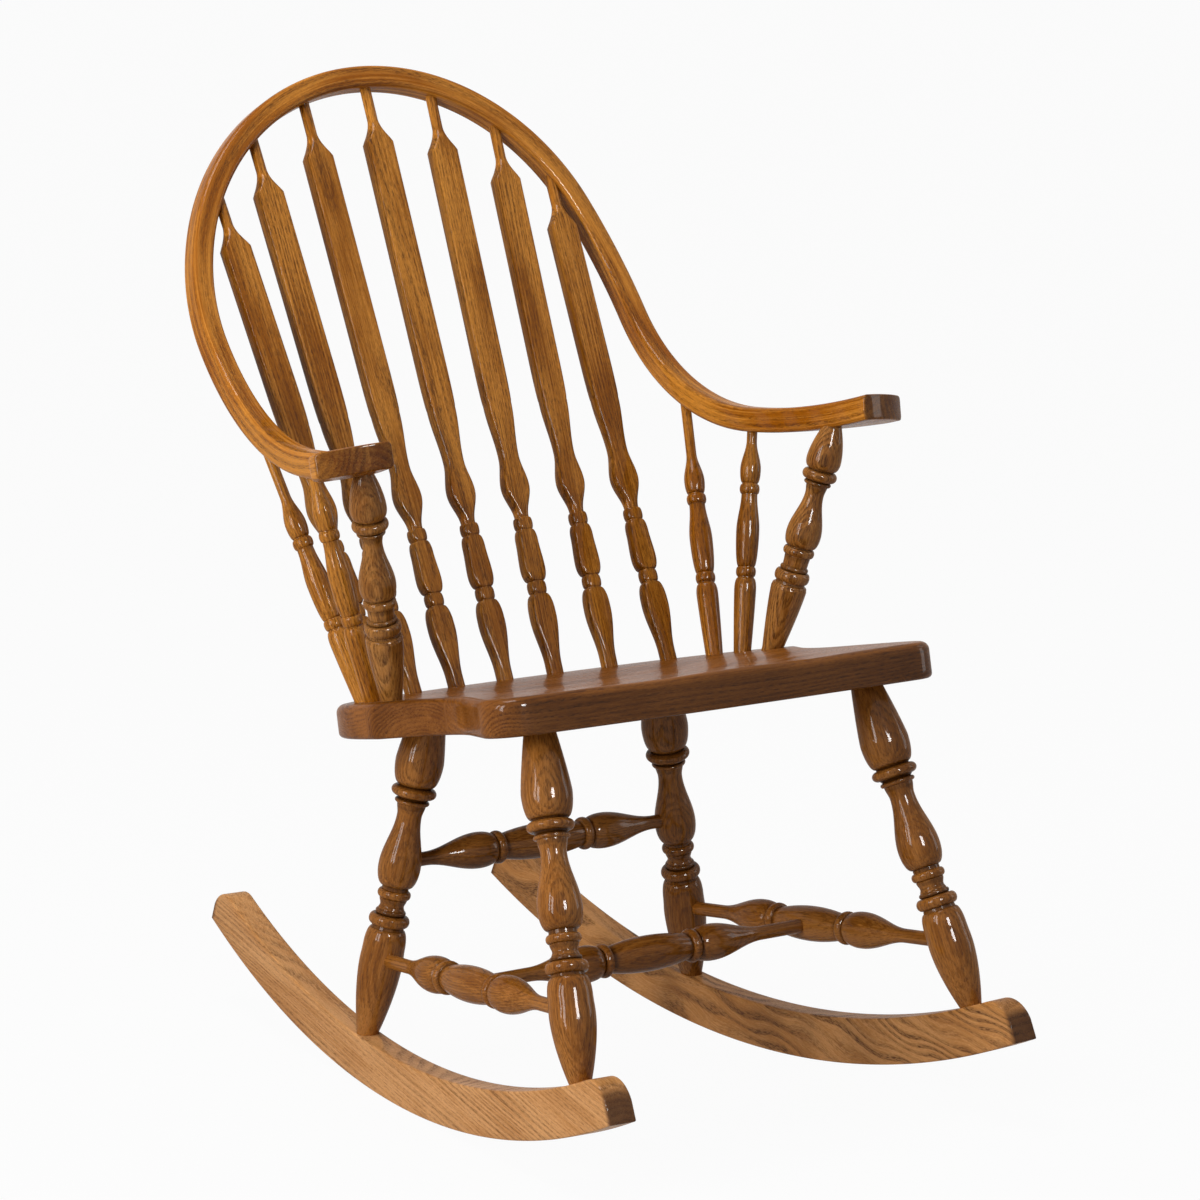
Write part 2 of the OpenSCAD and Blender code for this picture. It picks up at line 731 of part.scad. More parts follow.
module arm_spindle(foot, head) {
  length = norm(head - foot);
  z = stick_marks;
  r = stick_radii;
  color(oak_mid)
    along(foot, head)
      turned(concat(
        [[stick_heel, -foot_depth], [stick_heel, 0]],
        fill(stick_heel, 0, r[0], z[0], 1.3),
        fall(r[0], z[0], r[1], z[1]),
        bead(r[2], z[2], 10.5, r[1]),
        [[r[3], z[3]]],
        swell(r[3], z[3], r[4], z[4], 7),
        ease(r[4], z[4], r[5], z[5] - 0.2),
        bead(r[6], z[6], 10.5, r[5]),
        [[r[7], z[7]]],
        swell(r[7], z[7], r[8], z[8]),
        ease(r[8], z[8], r[9], z[9]),
        [[r[9], length + 4]]));
}

/* Arrow spindles */

arrow_heel = arrow_radii[0];
function arrow_base(k) = on_seat(-arrow_feet[k][0], arrow_feet[k][1], 0);
function arrow_head(k) = on_hoop(arrow_step * k, hoop_radius);

module arrow_spindle(k) {
  foot = arrow_base(k);
  head = arrow_head(k);
  length = norm(head - foot);
  shoulder = length - bow_width / 2 - arrow_neck;
  z = arrow_marks;
  r = arrow_radii;
  color(oak_mid)
    along(foot, head, hoop_face)
      intersection() {
        turned(concat(
          [[r[0], -foot_depth], [r[0], z[0]]],
          ease(r[0], z[0], r[1], z[1]),
          [[r[2], z[2]]],
          fall(r[2], z[2], r[3], z[3]),
          bead(r[4], z[4], 12.5, r[3]),
          [[r[5], z[5]]],
          swell(r[5], z[5], r[6], z[6]),
          ease(r[6], z[6], r[7], z[7], 4),
          fall(r[7], z[7], r[8], z[8]),
          bead(r[9], z[9], 12.5, r[8]),
          [[r[10], z[10]]],
          ease(r[10], z[10], r[11], z[11]),
          ease(r[11], z[11], r[12], z[12]),
          ease(r[12], z[12], r[13], z[13]),
          [[r[14], z[14]], [r[14], shoulder]],
          [[r[14] - 2.7, shoulder + 5]],
          fill(r[14] - 2.7, shoulder + 5, arrow_tip, shoulder + arrow_shoulder),
          [[arrow_tip, length + 4]]));
        translate([-2 * r[14], -arrow_thick / 2, -2 * foot_depth])
          cube([4 * r[14], arrow_thick, length + 4 * foot_depth]);
      }
}

/* The chair */

module mirrored() {
  mirror([1, 0, 0])
    children();
}

seat();
bow();
arm_pad();  // arm_pad_left
mirrored() arm_pad();  // arm_pad_right
rocker();  // rocker_left
mirrored() rocker();  // rocker_right
leg(0);  // front_leg_left
mirrored() leg(0);  // front_leg_right
leg(1);  // rear_leg_left
mirrored() leg(1);  // rear_leg_right
side_stretcher();  // side_stretcher_left
mirrored() side_stretcher();  // side_stretcher_right
cross_stretcher();
rear_stretcher();
arm_post();  // arm_post_left
mirrored() arm_post();  // arm_post_right
arm_spindle(stick_foot(front_stick_foot), front_stick_head);  // front_arm_spindle_left
mirrored()  // front_arm_spindle_right
  arm_spindle(stick_foot(front_stick_foot), front_stick_head);
arm_spindle(stick_foot(rear_stick_foot), rear_stick_head);  // rear_arm_spindle_left
mirrored()  // rear_arm_spindle_right
  arm_spindle(stick_foot(rear_stick_foot), rear_stick_head);
arrow_spindle(3);  // arrow_spindle_1
arrow_spindle(2);  // arrow_spindle_2
arrow_spindle(1);  // arrow_spindle_3
arrow_spindle(0);  // arrow_spindle_4
mirrored() arrow_spindle(1);  // arrow_spindle_5
mirrored() arrow_spindle(2);  // arrow_spindle_6
mirrored() arrow_spindle(3);  // arrow_spindle_7
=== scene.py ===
import math

import bpy
import numpy as np
from mathutils import Matrix


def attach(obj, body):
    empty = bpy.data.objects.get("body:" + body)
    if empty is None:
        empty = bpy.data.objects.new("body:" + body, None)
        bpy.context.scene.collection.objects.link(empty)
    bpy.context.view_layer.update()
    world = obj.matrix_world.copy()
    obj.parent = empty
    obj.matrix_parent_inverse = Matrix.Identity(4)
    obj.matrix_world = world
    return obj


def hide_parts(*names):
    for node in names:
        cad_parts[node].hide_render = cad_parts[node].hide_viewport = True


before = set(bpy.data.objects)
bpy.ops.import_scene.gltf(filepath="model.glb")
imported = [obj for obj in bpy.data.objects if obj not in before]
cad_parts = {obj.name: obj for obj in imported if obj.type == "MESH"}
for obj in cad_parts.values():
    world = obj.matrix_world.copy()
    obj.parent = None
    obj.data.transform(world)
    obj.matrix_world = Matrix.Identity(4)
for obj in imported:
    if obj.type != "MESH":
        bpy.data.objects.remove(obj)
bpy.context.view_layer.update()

scene = bpy.context.scene

# ---------------------------------------------------------------------------
# Seat. One thick plank glued up from oak boards that run from side to side,
# sawn to a saddle outline with a notch at each arm post, hollowed on top and
# rounded over along its upper edge. Everything else is socketed into it.
SEAT_HEIGHT = 423.3          # mm, top of the seat on the line of the arm posts
SEAT_Y = -14.2               # that line, from the resting point of the rockers
SEAT_TILT = math.radians(12.2)
SEAT_THICK = 37.4
SEAT_HALF = 264
SEAT_BACK = 187
SEAT_FRONT = 264
SEAT_ROUND, ROUND_BELOW = 9, 5
FRONT_CURVE = 11             # how far the front edge curves back to its corners
LOBE_Y = -6
NOTCH_IN, NOTCH_Y = 46, -92
SEAT_FALL = math.tan(math.radians(1.7))
FALL_LINE, FALL_BLEND = -40, 12
BOWL_DEPTH, BOWL_WIDE, BOWL_LONG = 11, 165, 120
THIGH_DEPTH, THIGH_X, THIGH_Y, THIGH_WIDE, THIGH_LONG = 4.5, 92, -160, 52, 75
PLANK_WIDTH, FIRST_JOINT = 92, -275

UP = np.array([0.0, 0.0, 1.0])


def unit(v):
    """A vector divided by its length."""
    v = np.asarray(v, float)
    return v / np.linalg.norm(v)


def on_seat(u, v, w=0.0):
    """Seat coordinates (sideways, back down the slope, above the top) turned about X by the
    tilt and moved to the arm post line."""
    u, v, w = np.broadcast_arrays(np.asarray(u, float), v, w)
    c, s = math.cos(SEAT_TILT), math.sin(SEAT_TILT)
    return np.stack([u, SEAT_Y + v * c + w * s, SEAT_HEIGHT - v * s + w * c], -1)


def lacquered_oak(name, dark, mid, light, ring, streak, pores, sheen):
    """Stained oak under lacquer: the shader group works out rings and pores from the piece's
    own board coordinates, the Principled shader carries the lacquer as its coat."""
    material = bpy.data.materials.new(name)
    material.use_nodes = True
    nodes, links = material.node_tree.nodes, material.node_tree.links
    shader = nodes["Principled BSDF"]
    board = nodes.new("ShaderNodeAttribute")
    board.attribute_name = "board"
    hollow = nodes.new("ShaderNodeAttribute")
    hollow.attribute_name = "hollow"
    grain = nodes.new("ShaderNodeGroup")
    grain.node_tree = oak_grain
    links.new(board.outputs["Vector"], grain.inputs["Board"])
    links.new(hollow.outputs["Fac"], grain.inputs["Stain And Shade"])
    for socket, value in (("Dark", (*dark, 1)), ("Mid", (*mid, 1)), ("Light", (*light, 1)),
                          ("Ring Width", ring), ("Streak", streak), ("Pore Depth", pores),
                          ("Sheen", sheen)):
        grain.inputs[socket].default_value = value
    links.new(grain.outputs["Color"], shader.inputs["Base Color"])
    links.new(grain.outputs["Roughness"], shader.inputs["Roughness"])
    bump = nodes.new("ShaderNodeBump")
    bump.inputs["Strength"].default_value = 0.35
    bump.inputs["Distance"].default_value = 0.0004
    links.new(grain.outputs["Height"], bump.inputs["Height"])
    links.new(bump.outputs["Normal"], shader.inputs["Normal"])
    shader.inputs["IOR"].default_value = 1.5
    shader.inputs["Specular IOR Level"].default_value = 0.012
    shader.inputs["Coat Weight"].default_value = 0.1
    shader.inputs["Coat Roughness"].default_value = 0.06
    shader.inputs["Coat IOR"].default_value = 1.9
    return material


def make_oak_grain():
    """Group of nodes: growth rings are the distance from the pith line (board X and Y) over the
    ring width, bent by slow noise; pores are short dashes along board Z, thickest in the early
    wood of each ring."""
    group = bpy.data.node_groups.new("oak_grain", "ShaderNodeTree")
    for way, sockets in (
            ("INPUT", (("Board", "Vector"), ("Stain And Shade", "Float"), ("Dark", "Color"),
                       ("Mid", "Color"), ("Light", "Color"), ("Ring Width", "Float"),
                       ("Streak", "Float"), ("Pore Depth", "Float"), ("Sheen", "Float"))),
            ("OUTPUT", (("Color", "Color"), ("Roughness", "Float"), ("Height", "Float")))):
        for label, kind in sockets:
            group.interface.new_socket(name=label, in_out=way, socket_type="NodeSocket" + kind)
    nodes, links = group.nodes, group.links
    into, out = nodes.new("NodeGroupInput"), nodes.new("NodeGroupOutput")
    given = into.outputs
    board = given["Board"]

    def feed(node, socket, value):
        """Link a value that comes from another node, or set a plain one."""
        if isinstance(value, bpy.types.NodeSocket):
            links.new(value, node.inputs[socket])
        else:
            node.inputs[socket].default_value = value

    def maths(operation, *values):
        """One step of arithmetic on the values."""
        node = nodes.new("ShaderNodeMath")
        node.operation = operation
        for i, value in enumerate(values):
            feed(node, i, value)
        return node.outputs[0]

    def add(a, b):
        """Sum of two values."""
        return maths("ADD", a, b)

    def times(a, b):
        """Product of two values."""
        return maths("MULTIPLY", a, b)

    def noise(cycles, detail=3.0, rough=0.5):
        """Smooth noise around 0.5, with so many cycles per metre across, across and along the
        board."""
        scaled = nodes.new("ShaderNodeVectorMath")
        scaled.operation = "MULTIPLY"
        feed(scaled, 0, board)
        feed(scaled, 1, cycles)
        node = nodes.new("ShaderNodeTexNoise")
        for socket, value in (("Vector", scaled.outputs[0]), ("Scale", 1.0),
                              ("Detail", detail), ("Roughness", rough)):
            feed(node, socket, value)
        return node.outputs["Fac"]

    def ramp(value, low, high):
        """Smooth step from 0 at the low value to 1 at the high one."""
        node = nodes.new("ShaderNodeMapRange")
        node.interpolation_type = "SMOOTHSTEP"
        for socket, v in (("Value", value), ("From Min", low), ("From Max", high)):
            feed(node, socket, v)
        return node.outputs["Result"]

    def mix(factor, a, b, kind="MIX"):
        """Colour a, with colour b over it by the factor."""
        node = nodes.new("ShaderNodeMix")
        node.data_type, node.blend_type = "RGBA", kind
        feed(node, 0, factor)
        feed(node, 6, a)
        feed(node, 7, b)
        return node.outputs[2]

    # Rings: distance from the pith in millimetres, with slow bends along the board
    parts = nodes.new("ShaderNodeSeparateXYZ")
    links.new(board, parts.inputs[0])
    x, y = parts.outputs[0], parts.outputs[1]
    radius = maths("SQRT", add(times(x, x), times(y, y)))
    bend = maths("SUBTRACT", noise((16, 16, 2.6)), 0.5)
    ripple = maths("SUBTRACT", noise((90, 90, 9), 2.0), 0.5)
    radius = add(times(radius, 1000.0), add(times(bend, 20.0), times(ripple, 1.6)))
    turns = maths("DIVIDE", radius, given["Ring Width"])
    # Rings grow wide and narrow from year to year
    turns = add(turns, times(maths("SINE", times(turns, 0.9)), 0.35))
    phase = maths("FRACT", turns)
    early = times(ramp(phase, 0.0, 0.12), maths("SUBTRACT", 1.0, ramp(phase, 0.3, 0.72)))
    band = times(early, ramp(noise((40, 40, 3), 1.0), 0.25, 0.7))
    # Pores: open dashes in the early wood, finer ones all over
    dash = ramp(noise((900, 900, 120), 2.0, 0.6), 0.47, 0.61)
    fine = ramp(noise((1300, 1300, 220), 1.0), 0.48, 0.64)
    pore = maths("MAXIMUM", times(dash, add(times(early, 0.75), 0.25)), times(fine, 0.55))
    # Slow stain variation and fine fibre streaks along the board
    cloud = noise((30, 30, 6))
    fibre = noise((500, 500, 9), 3.0, 0.65)
    tone = add(times(cloud, 0.8), times(fibre, 0.7))
    color = mix(ramp(tone, 0.58, 0.94), given["Mid"], given["Light"])
    shade = times(band, add(times(dash, 0.5), 0.5))
    color = mix(times(shade, given["Streak"]), color, given["Dark"])
    color = mix(times(times(pore, given["Pore Depth"]), 0.6), color, given["Dark"])
    # Stain gathered in grooves and end grain; painted shade on the seat front and two rear sticks
    color = mix(times(given["Stain And Shade"], 0.8), color, given["Dark"], "MULTIPLY")
    links.new(color, out.inputs["Color"])
    links.new(add(given["Sheen"], add(times(pore, 0.16), times(fibre, 0.06))),
              out.inputs["Roughness"])
    links.new(maths("SUBTRACT", times(fibre, 0.25), pore), out.inputs["Height"])
    return group


oak_grain = make_oak_grain()


def timber(local, seed, pith=(45, 90), tilt=1.4, facing=None):
    """Board coordinates in metres: the piece's own (across, across, along) millimetres, leant
    by a small tilt and moved off the pith of the tree, differently for each piece. Facing is
    the angle at which the pith lies, where it isn't left to chance."""
    rng = np.random.default_rng(seed)
    away, angle = rng.uniform(*pith), rng.uniform(0, 2 * math.pi)
    lean = np.radians(rng.uniform(-tilt, tilt, 2))
    along = rng.uniform(0, 4000)
    angle = angle if facing is None else facing
    local = np.asarray(local, float)
    x = local[..., 0] + away * math.cos(angle) + lean[0] * local[..., 2]
    y = local[..., 1] + away * math.sin(angle) + lean[1] * local[..., 2]
    return np.stack([x, y, local[..., 2] + along], -1) / 1000


def shell(name, rows, board, node, material, hollow, crease=38):
    """Closed skin over a grid: rows (count, around, 3) in millimetres, closed round each row,
    the first and last row drawn together to one point. Faces are turned outwards by the sign
    of the volume they enclose. The darkening is the share at each point of extra stain, and of
    painted shade on the seat's front and on the rear right leg and rear stretcher."""
    rows = np.asarray(rows, float)
    m, n = rows.shape[:2]
    inner = rows[1:-1].reshape(-1, 3)
    points = np.concatenate([inner, rows[[0, -1], 0]]) / 1000
    boards = np.concatenate([board[1:-1].reshape(-1, 3), board[[0, -1], 0]])
    i = np.arange(n)
    j = (i + 1) % n
    k = (np.arange(m - 3) * n)[:, None]
    quads = np.stack([k + i, k + j, k + n + j, k + n + i], -1).reshape(-1, 4)
    last = (m - 3) * n
    first_pole, last_pole = (m - 2) * n, (m - 2) * n + 1
    fans = np.concatenate([np.stack([j, i, np.full(n, first_pole)], -1),
                           np.stack([last + i, last + j, np.full(n, last_pole)], -1)])
    a, b, c = points[quads[:, 0]], points[quads[:, 1]], points[quads[:, 2]]
    d = points[quads[:, 3]]
    p, q, r = points[fans[:, 0]], points[fans[:, 1]], points[fans[:, 2]]
    volume = (np.einsum("ij,ij->", a, np.cross(b, c)) + np.einsum("ij,ij->", a, np.cross(c, d))
              + np.einsum("ij,ij->", p, np.cross(q, r)))
    if volume < 0:
        quads, fans = quads[:, ::-1], fans[:, ::-1]
    mesh = bpy.data.meshes.new(name)
    mesh.vertices.add(len(points))
    mesh.vertices.foreach_set("co", points.ravel())
    corners = np.concatenate([quads.ravel(), fans.ravel()])
    mesh.loops.add(len(corners))
    mesh.loops.foreach_set("vertex_index", corners)
    starts = np.concatenate([np.arange(len(quads)) * 4,
                             len(quads) * 4 + np.arange(len(fans)) * 3])
    mesh.polygons.add(len(starts))
    mesh.polygons.foreach_set("loop_start", starts)
    mesh.polygons.foreach_set("use_smooth", np.ones(len(starts), bool))
    mesh.update(calc_edges=True)
    mesh.attributes.new("board", "FLOAT_VECTOR", "POINT").data.foreach_set(
        "vector", np.ascontiguousarray(boards, np.float32).ravel())
    hollow = np.broadcast_to(hollow, rows.shape[:2])
    depth = np.concatenate([hollow[1:-1].ravel(), hollow[[0, -1], 0]])
    mesh.attributes.new("hollow", "FLOAT", "POINT").data.foreach_set(
        "value", depth.astype(np.float32))
    mesh.set_sharp_from_angle(angle=math.radians(crease))
    mesh.validate()
    piece = bpy.data.objects.new(name, mesh)
    scene.collection.objects.link(piece)
    mesh.materials.append(material)
    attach(piece, "root")
    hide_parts(node)
    return piece


def arc(centre, radius, start, end, count):
    """Points of a plan arc, angles in degrees, and the seat's outward normals there, which
    point to the centre where the arc runs clockwise."""
    a = np.radians(np.linspace(start, end, count))
    normal = np.stack([np.cos(a), np.sin(a)], -1)
    return np.asarray(centre) + radius * normal, normal * (1 if end > start else -1)


def seat_outline():
    """Right half of the plan as arcs joined by the straight lines that touch them, from the
    middle of the front round to the middle of the back, with outward normals."""
    back_r, wing_r, lobe_r, corner_r, cove_r = 543, 150, 13, 36, 110
    back = np.array([0, SEAT_BACK - back_r])
    wing_x = SEAT_HALF - wing_r
    wing = np.array([wing_x, back[1] + math.sqrt((back_r - wing_r) ** 2 - wing_x ** 2)])
    wing_angle = math.degrees(math.atan2(wing[1] - back[1], wing[0]))
    lobe = np.array([SEAT_HALF - lobe_r, LOBE_Y])
    notch = np.array([SEAT_HALF - NOTCH_IN, NOTCH_Y])
    corner = np.array([SEAT_HALF - corner_r, corner_r + FRONT_CURVE - SEAT_FRONT])
    front_r = ((corner[0] ** 2 + FRONT_CURVE ** 2 + 2 * FRONT_CURVE * corner_r)
               / (2 * FRONT_CURVE))
    front = np.array([0, front_r - SEAT_FRONT])
    corner_angle = math.degrees(math.atan2(corner[1] - front[1], corner[0]))

    def touch(centre, radius, side):
        """Angle at which the line from the notch touches a circle, on the side given."""
        gap = notch - centre
        return math.degrees(math.atan2(gap[1], gap[0])
                            + side * math.acos(radius / np.linalg.norm(gap)))

    lobe_angle, side_angle = touch(lobe, lobe_r, 1), touch(corner, corner_r, -1)
    middle = math.radians((lobe_angle + side_angle) / 2)
    reach = cove_r / math.cos(math.radians(side_angle - lobe_angle) / 2)
    cove = notch + reach * np.array([math.cos(middle), math.sin(middle)])
    runs = [arc(front, front_r, -90, corner_angle, 40),
            arc(corner, corner_r, corner_angle, side_angle, 26),
            arc(cove, cove_r, side_angle + 180, lobe_angle + 180, 16),
            arc(lobe, lobe_r, lobe_angle, 0, 12),
            arc(wing, wing_r, 0, wing_angle, 40),
            arc(back, back_r, wing_angle, 90, 40)]
    points = np.concatenate([r[0] for r in runs])
    normals = np.concatenate([r[1] for r in runs])
    # Even steps along the whole line, so that straight stretches get points too
    step = np.r_[0, np.cumsum(np.maximum(np.linalg.norm(np.diff(points, axis=0), axis=1), 1e-6))]
    even = np.linspace(0, step[-1], 230)
    points = np.stack([np.interp(even, step, points[:, i]) for i in (0, 1)], -1)
    normals = np.stack([np.interp(even, step, normals[:, i]) for i in (0, 1)], -1)
    normals /= np.linalg.norm(normals, axis=1)[:, None]
    left = points[-2:0:-1] * [-1, 1]
    return np.concatenate([points, left]), np.concatenate([normals, normals[-2:0:-1] * [-1, 1]])


def underside(v):
    """Height of the underside, which has the slope of the front half of the top."""
    return (v - FALL_LINE) * SEAT_FALL - SEAT_THICK


def saddle(u, v):
    """Height of the top: flat behind the fall line and sloping in front of it, less a broad
    bowl towards the back and two shallow leg hollows that run out to the front."""
    drop = SEAT_FALL * FALL_BLEND * np.logaddexp(0, (FALL_LINE - v) / FALL_BLEND)
    bowl = BOWL_DEPTH * np.exp(-np.abs(u / BOWL_WIDE) ** 3.2
                               - np.abs((v - FALL_LINE) / BOWL_LONG) ** 3)
    legs = THIGH_DEPTH * np.exp(-((np.abs(u) - THIGH_X) / THIGH_WIDE) ** 2
                                - ((v - THIGH_Y) / THIGH_LONG) ** 2)
    return -drop - np.maximum(bowl, legs) - 0.25 * np.minimum(bowl, legs)


# Rings of the outline's shape round a hub: the top, its rounded edge, the side, the lower
# edge and the underside
edge, edge_normal = seat_outline()
hub = np.array([0, -45])
rows, painted_front_shade = [], []
for share in np.linspace(0, 1, 40) ** 0.85:
    inside = hub + share * (edge - SEAT_ROUND * edge_normal - hub)
    rows.append(np.c_[inside, saddle(*inside.T)])
    painted_front_shade.append(0)
rim = saddle(*(edge - SEAT_ROUND * edge_normal).T)
# The rounded edge takes more and more of the painted front shade towards the side
for a, tone in zip(np.linspace(0, math.pi / 2, 9)[1:], np.linspace(0.2, 1, 8)):
    inset = SEAT_ROUND * (1 - math.sin(a))
    rows.append(np.c_[edge - inset * edge_normal, rim - SEAT_ROUND * (1 - math.cos(a))])
    painted_front_shade.append(tone)
for share in np.linspace(0, 1, 7)[1:]:
    rows.append(np.c_[edge, (rim - SEAT_ROUND) * (1 - share)
                      + (ROUND_BELOW + underside(edge[:, 1])) * share])
    painted_front_shade.append(1)
for a in np.linspace(0, math.pi / 2, 6)[1:]:
    inside = edge - ROUND_BELOW * (1 - math.cos(a)) * edge_normal
    rows.append(np.c_[inside, underside(inside[:, 1]) + ROUND_BELOW * (1 - math.sin(a))])
for share in np.linspace(1, 0, 12)[1:]:
    inside = hub + share * (edge - ROUND_BELOW * edge_normal - hub)
    rows.append(np.c_[inside, underside(inside[:, 1])])
rows = np.array(rows)
# Painted shade: the edge is darker than the top where it faces forwards, the more the further it
# faces forwards, and the front of the underside a little
painted_front_shade += [0.4] * (len(rows) - len(painted_front_shade))
painted_front_shade = 0.42 * np.array(painted_front_shade)[:, None] * np.clip(-edge_normal[:, 1], 0, 1)
# The boards run from side to side, glued edge to edge, and each has its own pith
from_joint = rows[..., 1] - FIRST_JOINT
plank = np.floor(from_joint / PLANK_WIDTH)
board = np.stack([from_joint % PLANK_WIDTH - PLANK_WIDTH / 2,
                  rows[..., 2] * np.where(plank % 2, -1, 1), rows[..., 0]], -1)
board = timber(board, 11, (62, 62), 0.6, 1.35)
board[..., 2] += plank * 0.9             # m, so that no two boards show the same length
seat_oak = lacquered_oak("seat_oak", (0.036, 0.010, 0.002), (0.168, 0.052, 0.006),
                         (0.27, 0.094, 0.017), ring=4.2, streak=0.5, pores=0.8, sheen=0.23)
seat = shell("saddle_seat", on_seat(rows[..., 0], rows[..., 1], rows[..., 2]), board, "seat",
             seat_oak, painted_front_shade, crease=50)

# ---------------------------------------------------------------------------
# Rockers. Two oak boards sawn to an arc, so the grain runs out through the
# curved edges, each with a socket for the front and the rear foot. The upper
# corner of each end is rounded; the long edges are only eased.
ROCKER_R = 1027
ROCKER_DEPTH = 48
ROCKER_THICK = 28
ROCKER_SWEEP = math.radians(25)
ROCKER_SIDE = 210.9
ROCKER_TOE = math.radians(4)
ROCKER_NOSE = 30
ROCKER_EDGES = (1.6, 1.6, 2.2, 2.2)      # corner radii, the lower two first


def on_rocker(t):
    """Point on the top edge of the left rocker, t millimetres back from its middle."""
    top = ROCKER_R - ROCKER_DEPTH
    return np.array([-ROCKER_SIDE + t * math.sin(ROCKER_TOE), t * math.cos(ROCKER_TOE),
                     ROCKER_R - math.sqrt(top * top - t * t)])


def rounded_bar(half_w, half_d, radii, count=7, across=6):
    """Section of a bar with rounded corners: (width, depth) pairs going round, one radius for
    each corner (+w+d, -w+d, -w-d, +w-d), and extra points on the straight sides."""
    parts = []
    for k, (sw, sd) in enumerate(((1, 1), (-1, 1), (-1, -1), (1, -1))):
        a = np.radians(np.linspace(0, 90, count) + 90 * k)
        r = radii[k]
        parts.append(np.c_[sw * (half_w - r) + r * np.cos(a), sd * (half_d - r) + r * np.sin(a)])
    out = []
    for part, after in zip(parts, parts[1:] + parts[:1]):
        share = (np.arange(1, across) / across)[:, None]
        out += [part, part[-1] + (after[0] - part[-1]) * share]
    return np.concatenate(out)


plain_oak = lacquered_oak("rocker_oak", (0.078, 0.027, 0.007), (0.44, 0.190, 0.054),
                          (0.60, 0.300, 0.112), ring=5.0, streak=0.5, pores=0.62,
                          sheen=0.33)
# Painted shade: the right rocker's mid and light tones are darker than the left's, for the shade
# it lies in; its figure is its own
figured_shaded_oak = lacquered_oak("rocker_oak_figured_shaded", (0.078, 0.027, 0.007), (0.40, 0.165, 0.042),
                            (0.54, 0.255, 0.084), ring=10.0, streak=0.95, pores=0.62,
                            sheen=0.33)
# Shares of the sweep at which a section stands, close together at the ends
SWING = np.concatenate([[-1, -1, -1], -1 + 0.0008 * np.array([1, 3, 6]),
                        np.linspace(-0.99, -0.92, 16), np.linspace(-0.915, 0.915, 110),
                        np.linspace(0.92, 0.99, 16), 1 - 0.0008 * np.array([6, 3, 1]), [1, 1, 1]])
for side, label, seed, lean, pith_side, rocker_oak in (
        (-1, "left", 21, 0.16, 68, plain_oak), (1, "right", 34, 0.20, 14, figured_shaded_oak)):
    rows = []
    for i, share in enumerate(SWING):
        a = share * ROCKER_SWEEP
        # Top radius: the arc, except near an end, where the corner's own circle takes over
        past = max(ROCKER_NOSE - ROCKER_R * (ROCKER_SWEEP - abs(a)), 0)
        top = ROCKER_R - ROCKER_DEPTH + ROCKER_NOSE - math.sqrt(ROCKER_NOSE ** 2 - past ** 2)
        section = rounded_bar(ROCKER_THICK / 2, (ROCKER_R - top) / 2, ROCKER_EDGES, 5)
        # The last sections shrink, which eases the end's edges and then closes it
        section = section * {0: 0.0, 1: 0.9, 2: 0.97}.get(min(i, len(SWING) - 1 - i), 1.0)
        radius = (ROCKER_R + top) / 2 + section[:, 1]
        rows.append(np.c_[section[:, 0], radius * math.sin(a), ROCKER_R - radius * math.cos(a)])
    rows = np.array(rows)
    # The left board is quarter-sawn and plain, the right one flat-sawn with cathedral figure
    across, along, up = rows[..., 0], rows[..., 1], rows[..., 2]
    local = np.stack([across, up - lean * along, along + lean * up], -1)
    if side > 0:
        local[..., 0] += 0.08 * along
        local[..., 1] += 4 * np.sin(along / 29 + up / 15) + 2.5 * np.sin(along / 12 - up / 9)
    board = timber(local, seed, (58, 58), 0.4, math.radians(pith_side))
    c, s = math.cos(ROCKER_TOE), math.sin(ROCKER_TOE)
    x = -ROCKER_SIDE + across * c + along * s
    y = -across * s + along * c
    placed = np.stack([-side * x, y, up], -1)
    # The end grain of the noses drinks more stain
    stain = np.clip((np.abs(SWING) - 0.985) / 0.014, 0, 1)
    rocker = shell("rocker_board_" + label, placed, board, "rocker_" + label, rocker_oak,
                   stain[:, None], crease=30)

# ---------------------------------------------------------------------------
# Legs. Turned from two-inch oak: a foot swell, a ring, a collar and two vases
# with a double collar between them. The foot is tenoned into its rocker and the
# top into a splayed socket of the seat.
LEG_TOE = 11
LEG_TENON = 12
SHIN = (110, 121)            # from the rocker to the large ring, front and rear
FOOT = (-339.3, 102.7)
SOCKET = ((-196.4, -205.7), (-145.5, 86.4))
SUNK = 6                     # how far the foot of every stick goes into its socket
# Heights above the large ring, and radii, in the order that baluster() names
LEG_MARKS = (-46, -9, 0, 8.6, 15.5, 27.8, 35.8, 57, 111, 127, 136.4, 143.4, 169, 232)
LEG_RADII = (22.5, 16.8, 21.2, 15.8, 12.4, 17.3, 13.8, 21.9, 12.8, 18, 23.4, 17.7, 25, 15)


def run(r0, z0, r1, z1, bend, count=12):
    """Stretch of a turned outline from (r0, z0) to (r1, z1); bend gives the share of the
    radius change and of the length at each share t of the stretch."""
    t = np.linspace(0, 1, count + 1)[1:]
    across, along = bend(t)
    return np.c_[r0 + (r1 - r0) * across, z0 + (z1 - z0) * along]


def ease(t):
    """Half a cosine wave, along the axis at both ends."""
    return (1 - np.cos(np.pi * t)) / 2, t


def swell(t):
    """Quarter of an ellipse that starts across the axis and ends along it."""
    return np.sin(np.pi / 2 * t), 1 - np.cos(np.pi / 2 * t)


def fall(t):
    """Quarter of an ellipse that starts along the axis and ends across it."""
    return 1 - np.cos(np.pi / 2 * t), np.sin(np.pi / 2 * t)


def fill(t):
    """Power 1.7 counted back from the end, so that it ends along the axis."""
    return 1 - (1 - t) ** 1.7, t


def fill_short(t):
    """The same with power 1.3, which is nearly straight."""
    return 1 - (1 - t) ** 1.3, t


def taper(t):
    """Power 1.2, so that it starts along the axis and is then nearly straight."""
    return t ** 1.2, t


